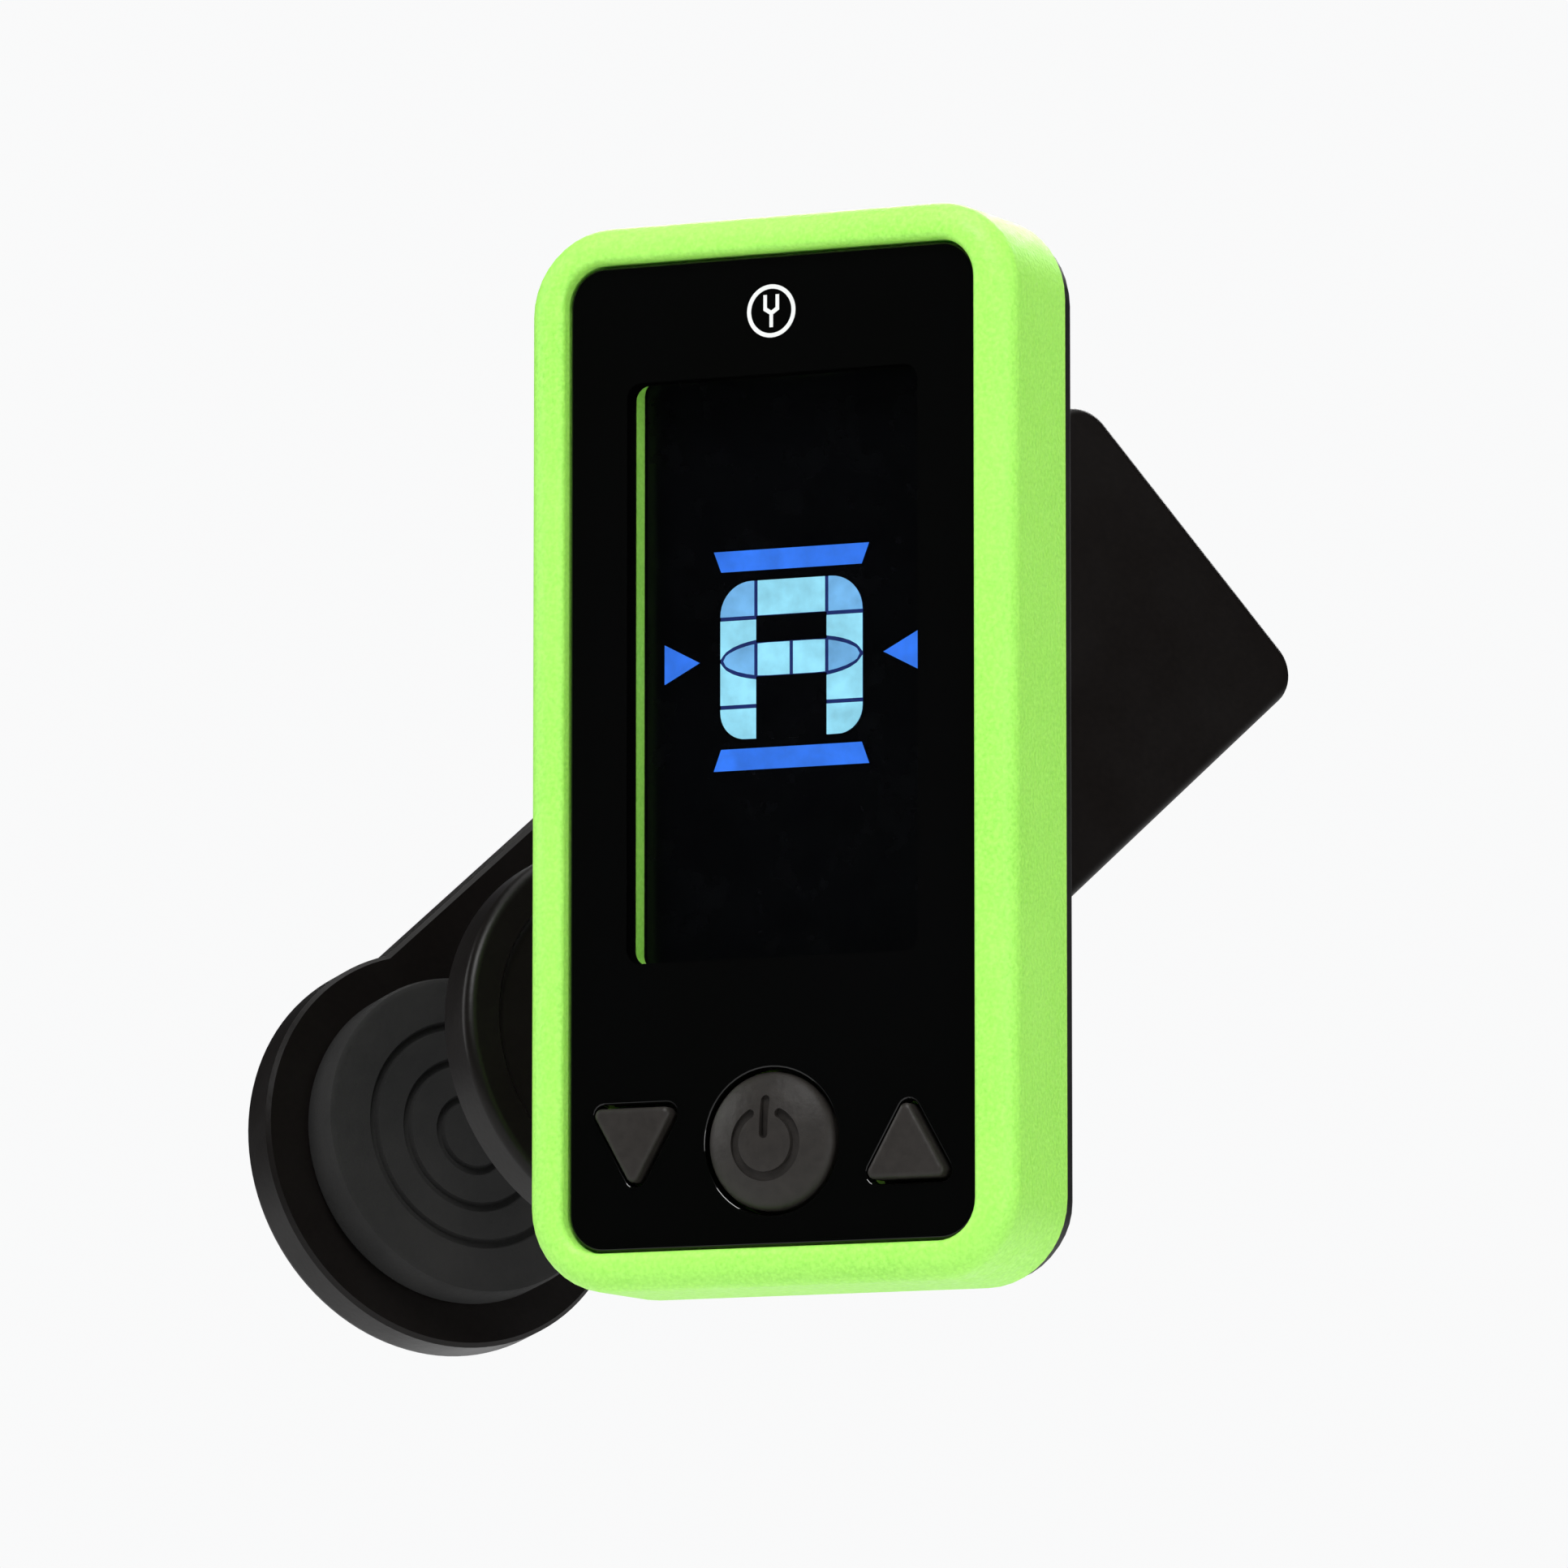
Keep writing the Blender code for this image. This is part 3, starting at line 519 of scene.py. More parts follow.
def moulded_black(name, colour, low, high, grain, depth, worn, shine):
    paint = Paint(name, colour, low)
    paint.tint(paint.noise(60, 5), worn, 0.0, 0.28)
    paint.tint(paint.noise(grain, 3), tuple(c * 1.7 for c in colour), 0.0, 0.5)
    paint.rough(paint.noise(140, 5), low, high)
    paint.bump(paint.noise(grain, 4), depth)
    paint.set(Specular_IOR_Level=shine)
    return paint.done()


def rubber():
    paint = Paint("pad_rubber", (0.013, 0.013, 0.013), 0.8)
    paint.tint(paint.noise(160, 6), (0.026, 0.025, 0.024), 0.0, 0.6)
    paint.rough(paint.noise(300, 4), 0.65, 0.92)
    paint.bump(paint.noise(1400, 5), 0.00006)
    paint.set(Specular_IOR_Level=0.2)
    return paint.done()


def metal(name, colour, low=0.18, high=0.38, stretch=(1, 1, 1), grain=900):
    paint = Paint(name, colour, low, 1.0)
    paint.tint(paint.noise(120, 5), tuple(c * 0.72 for c in colour), 0.0, 0.6)
    paint.rough(paint.noise(grain, 4, stretch), low, high)
    paint.bump(paint.noise(grain, 3, stretch), 0.000008)
    return paint.done()


def simple(name, colour, low, high, grain=1500, depth=0.00001, second=None):
    paint = Paint(name, colour, low)
    paint.tint(paint.noise(grain * 0.3, 4), second or tuple(c * 0.75 for c in colour), 0.0, 0.7)
    paint.rough(paint.noise(grain, 4), low, high)
    paint.bump(paint.noise(grain, 4), depth)
    return paint.done()


def board_green():
    paint = Paint("board_green", (0.012, 0.15, 0.06), 0.35)
    tracks = paint.nodes.new("ShaderNodeTexBrick")
    tracks.inputs["Scale"].default_value = 420
    tracks.inputs["Mortar Size"].default_value = 0.012
    paint.links.new(paint.place, tracks.inputs["Vector"])
    paint.tint(tracks.outputs["Fac"], (0.05, 0.3, 0.13), 0.0, 0.8)
    paint.tint(paint.noise(500, 4), (0.008, 0.11, 0.045), 0.0, 0.6)
    paint.rough(paint.noise(800, 3), 0.25, 0.5)
    paint.bump(paint.noise(700, 2), 0.00002)
    return paint.done()


def lit(name, colour, strength, spread):
    """Glowing display segment, finely mottled."""
    paint = Paint(name, (0.01, 0.01, 0.012), 0.3)
    glow = paint.ramp(paint.noise(700, 3), strength * (1 - spread), strength * (1 + spread * 0.4))
    paint.shader.inputs["Emission Color"].default_value = (*colour, 1.0)
    paint.links.new(glow, paint.shader.inputs["Emission Strength"])
    paint.bump(paint.noise(900, 2), 0.000005)
    return paint.done()


def window_glass():
    """Gloss black acrylic, printed behind except over the display."""
    paint = Paint("window_glass", (0.0008, 0.0009, 0.0007), 0.05)
    paint.tint(paint.noise(45, 3), (0.0013, 0.0013, 0.0015), 0.0, 0.6)
    paint.rough(paint.noise(260, 5), 0.03, 0.09)
    paint.bump(paint.noise(35, 2), 0.000006)
    paint.set(IOR=1.49)
    solid = paint.done()
    nodes = paint.nodes
    links = paint.links
    split = nodes.new("ShaderNodeSeparateXYZ")
    links.new(paint.place, split.inputs[0])
    centre = HEAD @ Vector((0, 0, CLEAR_Z))
    width, height, corner = (side * MM for side in CLEAR)
    squares = []
    for output, middle, side in ((0, centre.x, width), (2, centre.z, height)):
        off = paint.math("ABSOLUTE", paint.math("SUBTRACT", split.outputs[output], middle), 0.0)
        past = paint.math("MAXIMUM", paint.math("SUBTRACT", off, side / 2 - corner), 0.0)
        squares.append(paint.math("MULTIPLY", past, past))
    clear = paint.math("LESS_THAN", paint.math("ADD", *squares), corner ** 2)
    see = nodes.new("ShaderNodeBsdfTransparent")
    see.inputs[0].default_value = (0.95, 0.97, 0.96, 1.0)
    shine = nodes.new("ShaderNodeBsdfGlossy")
    shine.inputs["Roughness"].default_value = 0.04
    fresnel = nodes.new("ShaderNodeFresnel")
    fresnel.inputs["IOR"].default_value = 1.3
    facing = nodes.new("ShaderNodeNewGeometry")
    outside = paint.math("SUBTRACT", 1.0, facing.outputs["Backfacing"])
    pane = nodes.new("ShaderNodeMixShader")
    links.new(paint.math("MULTIPLY", fresnel.outputs[0], outside), pane.inputs[0])
    links.new(see.outputs[0], pane.inputs[1])
    links.new(shine.outputs[0], pane.inputs[2])
    both = nodes.new("ShaderNodeMixShader")
    links.new(clear, both.inputs[0])
    links.new(paint.shader.outputs[0], both.inputs[1])
    links.new(pane.outputs[0], both.inputs[2])
    output = next(node for node in nodes if node.type == "OUTPUT_MATERIAL")
    links.new(both.outputs[0], output.inputs["Surface"])
    return solid


LIME = lime_rubber()
WINDOW_BLACK = window_glass()
PRINT = simple("white_print", (0.82, 0.83, 0.82), 0.35, 0.55, 1600, 0.000006, (0.75, 0.76, 0.75))
KEYS = moulded_black(
    "key_plastic", (0.017, 0.0148, 0.0132), 0.4, 0.55, 1700, 0.00004, (0.025, 0.022, 0.02), 0.25
)
COVER = moulded_black(
    "cover_plastic", (0.0055, 0.0055, 0.006), 0.4, 0.55, 1500, 0.00005, (0.012, 0.012, 0.012), 0.3
)
NYLON = moulded_black(
    "clip_nylon", (0.0042, 0.0033, 0.003), 0.3, 0.44, 2600, 0.00001, (0.009, 0.0075, 0.007), 0.18
)
RUBBER = rubber()
STEEL = metal("plated_steel", (0.6, 0.6, 0.61))
DARK_STEEL = metal("black_oxide", (0.16, 0.16, 0.165), 0.22, 0.42)
SPRING = metal("spring_wire", (0.56, 0.56, 0.58), 0.14, 0.3, (1, 1, 1), 1600)
BRASS = metal("brass_disc", (0.72, 0.52, 0.2), 0.2, 0.4)
CELL_STEEL = metal("cell_steel", (0.66, 0.66, 0.66), 0.16, 0.34, (1, 8, 1), 500)
GLASS_DARK = simple(
    "display_cell", (0.0006, 0.0006, 0.001), 0.2, 0.3, 500, 0.000003, (0.0009, 0.0009, 0.0016)
)
GLASS_DARK.node_tree.nodes["Principled BSDF"].inputs["Specular IOR Level"].default_value = 0.12
NAVY = lit("segment_navy", (0.01, 0.05, 0.45), 0.3, 0.2)
CYAN = lit("segment_cyan", (0.33, 0.78, 1.0), 1.05, 0.22)
DUSK = lit("segment_dusk", (0.2, 0.52, 0.95), 0.95, 0.25)
BLUE = lit("segment_blue", (0.03, 0.19, 0.93), 1.05, 0.2)


# head ---------------------------------------------------------------------
def make_bezel():
    w, h, r = POCKET
    trim = 0.25
    sections = [
        (HEAD_W - 2 * trim, HEAD_H - 2 * trim, HEAD_CORNER - trim, BEZEL_BACK),
        (HEAD_W, HEAD_H, HEAD_CORNER, BEZEL_BACK - trim),
    ]
    steps = 9
    for k in range(steps + 1):
        angle = math.radians(180 + 90 * k / steps)
        inset = EDGE_R + EDGE_R * math.cos(angle)
        depth = EDGE_R + EDGE_R * math.sin(angle)
        sections.append((HEAD_W - 2 * inset, HEAD_H - 2 * inset, HEAD_CORNER - inset, depth))
    for k in range(7):
        angle = math.radians(15 * k)
        grow = MOUTH_R * (1 - math.sin(angle))
        depth = MOUTH_R * (1 - math.cos(angle))
        sections.append((w + 2 * grow, h + 2 * grow, r + grow, depth))
    sections += [(w, h, r, WEB[1]), (*SKIRT, WEB[1]), (*SKIRT, BEZEL_BACK)]
    body = sleeve(sections, True)
    rings = [box_outline(w + 0.5, h + 0.5, r + 0.2), box_outline(*WELL, 0.8, 4, 0, WELL_Z)]
    web = plate(rings + key_holes(WEB_GAP, 48), -WEB[1], -WEB[0])
    tools = [(ADD, shaped(web, FACING))]
    for x, z in SCREW_SPOTS:
        post = plate([circle(POST_R, 28, x, z), circle(0.9, 20, x, z)], -BEZEL_BACK, -WEB[1] + 0.1)
        tools.append((ADD, shaped(post, FACING)))
    piece("bezel_shell", combine(body, tools), HEAD, "head", LIME, "bezel")


def make_window():
    """Window with a printed emblem, a plain tuning fork in a ring."""
    rings = [box_outline(*WINDOW)] + key_holes(WINDOW_GAP, 56)
    mesh = finish_mesh(plate(rings, -WINDOW_BACK, -WINDOW_FRONT, 0.12, 4), 7)
    piece("front_window", shaped(mesh, FACING), HEAD, "head", WINDOW_BLACK, "screen_window")
    depth = (-WINDOW_FRONT - 0.01, -WINDOW_FRONT + 0.03)
    top = 25.4
    fork = [(-0.11, -0.95), (0.11, -0.95), (0.11, -0.2), (0.5, 0.05), (0.5, 0.95), (0.28, 0.95)]
    fork += [(0.28, 0.2), (0.0, 0.02), (-0.28, 0.2), (-0.28, 0.95), (-0.5, 0.95), (-0.5, 0.05)]
    fork.append((-0.11, -0.2))
    for name, shape in (
        ("emblem_ring", band(1.55, 1.3, 40, None, 0, top)),
        ("emblem_fork", [[(x, z + top) for x, z in fork]]),
    ):
        piece(name, shaped(plate(shape, *depth), FACING), HEAD, "head", PRINT)


def make_arrow_keys():
    for name, node, body, x, direction in (
        ("down_cap", "button_down", "down_key", -ARROW_X, -1),
        ("up_cap", "button_up", "up_key", ARROW_X, 1),
    ):
        rows = []
        for grow, depth, radius in (
            (-0.36, 0.31, 0.16),
            (-0.2, 0.33, 0.26),
            (-0.08, 0.4, 0.34),
            (-0.02, 0.5, 0.38),
            (0.0, 0.62, ARROW_ROUND),
            (0.0, KEY_FLANGE[0], ARROW_ROUND),
            (FLANGE_OUT, KEY_FLANGE[0], ARROW_ROUND),
            (FLANGE_OUT, KEY_FLANGE[1], ARROW_ROUND),
        ):
            outline = arrow_outline(x, direction, grow, radius, 8)
            rows.append([(px, depth, pz) for px, pz in outline])
        piece(name, rows_mesh(rows), HEAD, body, KEYS, node)


def make_power_key():
    """Crowned round key with the power sign cut into it."""
    crown = 0.18
    edge = POWER_R - 0.25
    steps = 14
    dome = [(0, crown)]
    for k in range(1, steps + 1):
        radius = edge * k / steps
        dome.append((radius, crown - 0.86 * (radius / edge) ** 2.3))
    front, back = KEY_FLANGE
    dome += [(POWER_R - 0.1, -0.84), (POWER_R, -1.05), (POWER_R, -front)]
    dome += [(POWER_R + FLANGE_OUT, -front), (POWER_R + FLANGE_OUT, -back), (0, -back)]
    body = turned(dome, 96)
    gap = 0.5
    start = math.pi / 2 + gap
    sweep = 2 * math.pi - 2 * gap
    sign_r = 1.92
    half = 0.27
    drop = -0.15
    ring = circle(sign_r + half, 48, 0, drop, start, sweep)
    back_arc = list(reversed(circle(sign_r - half, 48, 0, drop, start, sweep)))
    for angle, turn, after in ((start + sweep, start + sweep, back_arc), (start, start + math.pi, [])):
        x = sign_r * math.cos(angle)
        z = sign_r * math.sin(angle) + drop
        ring += circle(half, 8, x, z, turn, math.pi)[1:-1] + after
    sign = plate([ring], -0.32, 1.0)
    bar = plate([box_outline(2 * half, 2.5, 0.26, 6, 0, 1.35)], -0.4, 1.0)
    body = combine(body, [(CUT, sign), (CUT, bar)], 40)
    place = HEAD @ at(0, 0, POWER_Z) @ FACING
    piece("power_cap", body, place, "power_key", KEYS, "button_power")


def display_plate(name, rings, material, front=3.5):
    """Thin shapes that lie just in front of the display cell."""
    mesh = bpy.data.meshes.new(name)
    work = bmesh.new()
    for ring in rings:
        work.from_mesh(shaped(plate([ring], -front - 0.05, -front), FACING))
    work.to_mesh(mesh)
    work.free()
    piece(name, finish_mesh(mesh), HEAD, "head", material)


def make_cell():
    width, height = DISPLAY
    trim = 0.1
    small = (width - 2 * trim, height - 2 * trim, 0.4)
    large = (width, height, 0.5)
    sections = [(*small, GLASS_FRONT), (*large, GLASS_FRONT + trim)]
    sections += [(*large, GLASS_BACK - trim), (*small, GLASS_BACK)]
    mesh = sleeve(sections, False, 4)
    mesh.transform(at(0, 0, WELL_Z))
    piece("display_cell", mesh, HEAD, "head", GLASS_DARK, "lcd_glass")


def make_note():
    """The lit letter A, cell by cell, and the marks around it; z is measured from its middle."""
    half_w = 4.55
    half_h = 4.6
    inner = 2.27  # inner side of the letter's columns
    corner = 2.0
    heel = corner * 0.8
    line = 0.12  # half the dark line between two cells
    cut_top = 2.45
    cut_low = -2.7
    almond_h = 1.15
    bridge_h = 0.95

    def almond(x):
        """Half height of the almond outline at x."""
        share = min(1.0, abs(x) / 4.45)
        return almond_h * math.sqrt(max(0.0, 1 - share ** 2.4))

    column_xs = [inner, inner + 0.5, inner + 1.0, inner + 1.5, half_w - 0.35, half_w - 0.18, half_w]
    almond_xs = [inner + line, inner + 0.6, inner + 1.2, inner + 1.7, 4.2]
    bar = inner - line
    bridge_xs = [line, 0.8, 1.5, bar]

    shoulder_cell = [(inner + line, cut_top + line), (half_w, cut_top + line), (half_w, half_h - corner)]
    shoulder_cell += circle(corner, 10, half_w - corner, half_h - corner, 0, math.pi / 2)[1:]
    shoulder_cell.append((inner + line, half_h))

    upper_cell = [(x, almond(x) + line) for x in column_xs]
    upper_cell += [(half_w, cut_top - line), (inner, cut_top - line)]

    lower_cell = [(inner, cut_low + line), (half_w, cut_low + line)]
    lower_cell += [(x, -almond(x) - line) for x in reversed(column_xs)]

    foot_cell = [(inner, -half_h), (inner, cut_low - line), (half_w, cut_low - line)]
    foot_cell.append((half_w, heel - half_h))
    foot_cell += circle(heel, 10, half_w - heel, heel - half_h, 0, -math.pi / 2)[1:-1]

    almond_cell = [(x, almond(x) - line) for x in almond_xs] + [(4.36, 0.0)]
    almond_cell += [(x, line - almond(x)) for x in reversed(almond_xs)]

    bridge_cell = [(x, min(almond(x) - line, bridge_h)) for x in bridge_xs]
    bridge_cell += [(x, -min(almond(x) - line, bridge_h)) for x in reversed(bridge_xs)]

    def placed(*rings, sides=(-1, 1)):
        return [[(side * x, z + LETTER_Z) for x, z in ring] for side in sides for ring in rings]

    def box(half, low, high):
        return [(-half, low), (half, low), (half, high), (-half, high)]

    top_cell = box(bar, cut_top + line, half_h)
    whole = rounded(box(half_w, -half_h, half_h), [1.6, 1.6, corner, corner], 8)
    gap = inner - 0.02
    hollow = [box(gap, bridge_h + 0.04, cut_top + 0.08), box(gap, -half_h - 0.05, -bridge_h - 0.04)]
    cells = placed(upper_cell, lower_cell, foot_cell, bridge_cell) + placed(top_cell, sides=(1,))
    display_plate("display_note_edge", placed(whole, sides=(1,)), NAVY, 3.56)
    display_plate("display_note_void", placed(*hollow, sides=(1,)), GLASS_DARK, 3.53)
    display_plate("display_note", cells, CYAN)
    display_plate("display_note_dim", placed(shoulder_cell, almond_cell), DUSK)

    wide = 4.97
    narrow = 4.5
    bars = [
        [(-wide, 6.4), (wide, 6.4), (narrow, 5.2), (-narrow, 5.2)],
        [(-narrow, -5.15), (narrow, -5.15), (wide, -6.4), (-wide, -6.4)],
    ]
    arrow = [(8.15, 1.15), (8.15, -1.15), (5.9, 0.0)]
    display_plate("display_marks", placed(*bars, sides=(1,)) + placed(arrow), BLUE)


# head back ----------------------------------------------------------------
def sector(inner, outer, middle, half):
    """Part of a ring around middle degrees, half radians to each side."""
    start = math.radians(middle) - half
    out = circle(outer, 8, 0, 0, start, 2 * half)
    return out + list(reversed(circle(inner, 8, 0, 0, start, 2 * half)))


def cover_rows(profile, steps=10):
    """Shell through (inset, depth) points of the cover's side."""
    sections = []
    for inset, depth in profile:
        corner = max(HEAD_CORNER - inset, 0.5)
        sections.append((HEAD_W - 2 * inset, HEAD_H - 2 * inset, corner, depth))
    return sleeve(sections, False, steps)


def smooth_profile(points):
    """Catmull-Rom through profile points."""
    per = 4
    out = []
    count = len(points)
    for i in range(count - 1):
        p0 = Vector(points[max(i - 1, 0)])
        p1 = Vector(points[i])
        p2 = Vector(points[i + 1])
        p3 = Vector(points[min(i + 2, count - 1)])
        for k in range(per):
            t = k / per
            v = 0.5 * (2 * p1 + (p2 - p0) * t + (2 * p0 - 5 * p1 + 4 * p2 - p3) * t * t)
            v += 0.5 * (3 * p1 - p0 - 3 * p2 + p3) * t ** 3
            out.append((v.x, v.y))
    out.append(tuple(points[-1]))
    return out


def make_cover():
    outer = [(0.4, 9.2), (1.15, 10.9), (2.3, 12.4), (3.0, 13.1), (3.6, COVER_BACK)]
    outer = [(0.4, 8.3)] + smooth_profile(outer)
    inner = [(1.7, 7.3), (1.7, 9.0), (2.4, 10.5), (3.4, 11.6), (4.4, 12.1)]
    beyond = -15  # past the cover's back, for cuts
    steps = [(CUT, cover_rows(inner, 6))]
    steps.append((CUT, shaped(plate([circle(11.5, 64, 0, CELL_Z)], beyond, -9), FACING)))
    for middle in (50, 230):
        notch = plate([sector(10.2, 12.7, middle, 0.35)], beyond, -9)
        steps.append((CUT, shaped(notch, at(0, 0, CELL_Z), FACING)))
    for x, z in SCREW_SPOTS:
        for operation, ring, low, high in (
            (ADD, circle(POST_R, 28, x, z), -12.6, -8.3),
            (CUT, circle(0.95, 20, x, z), beyond, -7),
            (CUT, circle(1.6, 28, x, z), beyond, -12.7),
        ):
            steps.append((operation, shaped(plate([ring], low, high), FACING)))
    steps.append((CUT, shaped(plate([circle(1.12, 24, 0, BOSS_Z)], beyond, -7), FACING)))
    groove = plate(band(6.6, 6.3, 56, None, 0, BOSS_Z), -13.8, 0.2 - COVER_BACK)
    steps.append((CUT, shaped(groove, FACING)))
    body = combine(cover_rows(outer), steps)
    piece("back_shell", body, HEAD, "head", COVER, "rear_cover")


def make_door():
    back = -COVER_BACK
    rim = 11.15
    shelf = -11.05
    profile = [(0, -12.2), (9.9, -12.2), (10.3, -11.9), (10.3, shelf), (rim, shelf)]
    profile += [(rim, back + 0.3), (rim - 0.08, back + 0.12), (rim - 0.25, back), (9.6, back)]
    profile += [(9.4, back + 0.15), (9.0, back + 0.15), (8.8, back), (0, back)]
    body = turned(profile, 96)
    steps = []
    for middle in (90, 270):
        steps.append((ADD, plate([sector(10.8, 12.5, middle, 0.3)], -11.85, shelf)))
    slot = plate([box_outline(11.0, 1.6, 0.75, 8)], back - 1, back + 0.75)
    steps.append((CUT, slot))
    for sign in (-1, 1):
        dot = plate([circle(0.35, 20, 0, sign * 7.2)], back - 1, back + 0.2)
        steps.append((CUT, dot))
    place = HEAD @ at(0, 0, CELL_Z) @ FACING
    piece("cell_door", combine(body, steps), place, "door", COVER, "battery_door")


def cross_screw(head_r, head_h, shank_r, length, cross):
    """Pan-head screw with a cross slot; head top at Z 0, ringed shank downwards."""
    profile = [(0, 0)]
    soft = head_h * 0.6
    for k in range(1, 7):
        angle = math.radians(15 * k)
        profile.append((head_r - soft * (1 - math.sin(angle)), -soft * (1 - math.cos(angle))))
    profile += [(head_r, -head_h), (shank_r, -head_h)]
    pitch = 0.5
    root = shank_r * 0.8
    for k in range(int((length - head_h) / pitch)):
        z = -head_h - pitch * k
        profile += [(shank_r, z - 0.12), (root, z - 0.25), (root, z - 0.3), (shank_r, z - 0.45)]
    profile += [(root, -length + 0.1), (0, -length)]
    clean = [profile[0]]
    for radius, height in profile[1:]:
        clean.append((radius, min(height, clean[-1][1])))
    body = turned(clean, 32)
    wide = cross * 0.26
    deep = head_h * 0.75
    steps = [(CUT, brick(cross, wide, deep * 2)), (CUT, brick(wide, cross, deep * 2))]
    return combine(body, steps, 30)


def make_screws():
    for number, (x, z) in enumerate(SCREW_SPOTS, 1):
        mesh = cross_screw(1.42, 0.65, 0.74, 8.8, 1.8)
        place = HEAD @ at(x, COVER_BACK - 0.08, z) @ Matrix.Rotation(-math.pi / 2, 4, "X")
        piece(f"cover_fixing_{number}", mesh, place, "head", DARK_STEEL, f"cover_screw_{number}")


# neck ---------------------------------------------------------------------
def make_arm():
    eye_r = 4.2
    neck = 3.2
    low = math.acos(neck / eye_r)
    side = circle(eye_r, 48, 0, 0, math.pi - low, 2 * low + math.pi) + [(neck, 6.4), (-neck, 6.4)]
    eye = shaped(plate([side], -2.1, 2.1, 0.25, 3), SIDEWAYS)
    disc = [(0, 8.2)] + shoulder(5.0, 7.7, 0.5, 18, 6)
    disc += [(5.5, 6.5), (5.3, 6.1), (4.9, 5.9), (0, 5.9)]
    steps = [(ADD, turned(disc, 72))]
    steps.append((CUT, shaped(rod(PIVOT_BORE, -6, 6), ALONG_X)))
    steps.append((CUT, rod(1.2, 2.9, 9)))
    for sign in (-1, 1):
        steps.append((CUT, shaped(brick(2.4, 3.4, 1.5), at(sign * 2.9, 0, eye_r))))
    piece("arm_knuckle", combine(eye, steps), ARM, "neck_arm", NYLON, "tilt_arm")
    screw = cross_screw(2.5, 1.1, 1.0, 8.2, 2.9)
    piece("arm_screw", screw, ARM @ at(0, 0, 11.5), "neck_arm", STEEL, "swivel_screw")


def make_turret():
    base = [(0, 3.0)] + shoulder(6.3, 2.3, 0.7, 15, 7)
    base += [(7.0, 0.55), (6.8, 0.3), (0, 0.3)]
    eye_r = 4.5
    side = [(-eye_r, 2.0), (eye_r, 2.0)] + circle(eye_r, 40, 0, TILT_HEIGHT, 0, math.pi)
    fork = shaped(plate([side], -5.2, 5.2, 0.45, 4), SIDEWAYS)
    slot_floor = TILT_HEIGHT - 4.7
    slot = shaped(plate([box_outline(5.4, 16, 0.6, 4, 0, slot_floor + 8)], -7, 7), FACING)
    steps = [
        (ADD, fork),
        (CUT, slot),
        (CUT, shaped(rod(PIVOT_BORE, -8, 8), at(0, 0, TILT_HEIGHT), ALONG_X)),
        (CUT, rod(PIVOT_BORE, -1, 9)),
    ]
    fork_mesh = combine(turned(base, 96), steps)
    piece("turret_fork", fork_mesh, TURRET, "neck_turret", NYLON, "turret")
    under = at(0, 0, -4.8) @ Matrix.Rotation(math.pi, 4, "X")
    base_screw = cross_screw(2.6, 1.2, 1.5, 13.0, 3.2)
    tilt_screw = cross_screw(2.7, 1.4, 1.5, 13.8, 3.0)
    nut = plate(band(2.9, 1.6, 6, 24), -0.75, 0.75, 0.12, 2)
    for name, mesh, place, node in (
        ("turret_screw", base_screw, under, "base_screw"),
        ("pivot_screw", tilt_screw, at(6.7, 0, TILT_HEIGHT) @ ALONG_X, "tilt_screw"),
        ("pivot_nut", nut, at(-6.05, 0, TILT_HEIGHT) @ ALONG_X, "tilt_nut"),
    ):
        piece(name, mesh, TURRET @ place, "neck_turret", STEEL, node)


def washer(name, node, body, inner, outer, half, place):
    edge = min(0.06, half * 0.4)
    top = [(inner, half - edge), (inner + edge, half), (outer - edge, half), (outer, half - edge)]
    low = [(radius, -height) for radius, height in reversed(top)]
    piece(name, turned(top + low, 48, True), place, body, STEEL, node)


def make_washers():
    for label, side in (("left", -2.4), ("right", 2.4)):
        place = TURRET @ at(side, 0, TILT_HEIGHT) @ ALONG_X
        washer(f"friction_{label}", f"tilt_washer_{label}", "neck_turret", 1.7, 3.7, 0.18, place)
    place = TURRET @ at(0, 0, -3.32)
    washer("turret_washer", "base_washer", "neck_turret", 1.8, 3.0, 0.17, place)
    washer("arm_washer", "swivel_washer", "neck_arm", 1.25, 2.9, 0.12, ARM @ at(0, 0, 10.12))


# clip ---------------------------------------------------------------------
def lever_outline(inset=0.0):
    """Round jaw running into the straight thumb end."""
    half = LEVER_W / 2 - inset
    jaw_r = JAW_R - inset
    reach = math.asin(half / jaw_r)
    jaw = circle(jaw_r, 72, JAW_A, 0, reach, 2 * math.pi - 2 * reach)
    end = THUMB_END - inset
    corner = max(THUMB_CORNER - inset, 0.2)
    corners = [(jaw[-1][0], -half), (end, -half), (end, half), (jaw[0][0], half)]
    thumb = rounded(corners, [0, corner, corner, 0], 12)
    return jaw[:-1] + thumb[:-1]


def ear_outline(sign, top):
    """Side view of a lever's rib, with the ear around the hinge."""
    deep = top - sign * 2.4
    root = top + sign * 0.5
    shallow = deep + sign * 0.9
    far = THUMB_END - 2.2
    near = HINGE_A - 9.5
    eye = circle(3.7, 36, HINGE_A, HINGE_N, 0, -sign * math.pi)
    right = [(far, root), (far, shallow), (THUMB_END - 4.5, deep), (HINGE_A + 7.5, deep - sign * 0.4)]
    left = [(HINGE_A - 7.0, deep - sign * 0.2), (near, shallow), (near, root)]
    return right + eye + left


def lever_body(top, sign):
    """Lever plate with its outer edge rounded."""
    outer = top + sign * LEVER_THICK
    rows = []
    for inset, share in ((0.25, 0.0), (0.0, 0.25)):
        rows.append([(x, y, top + sign * share) for x, y in lever_outline(inset)])
    radius = 0.7
    for k in range(7):
        angle = math.radians(15 * k)
        inset = radius * (1 - math.cos(angle))
        height = outer - sign * radius * (1 - math.sin(angle))
        rows.append([(x, y, height) for x, y in lever_outline(inset)])
    return rows_mesh(rows)


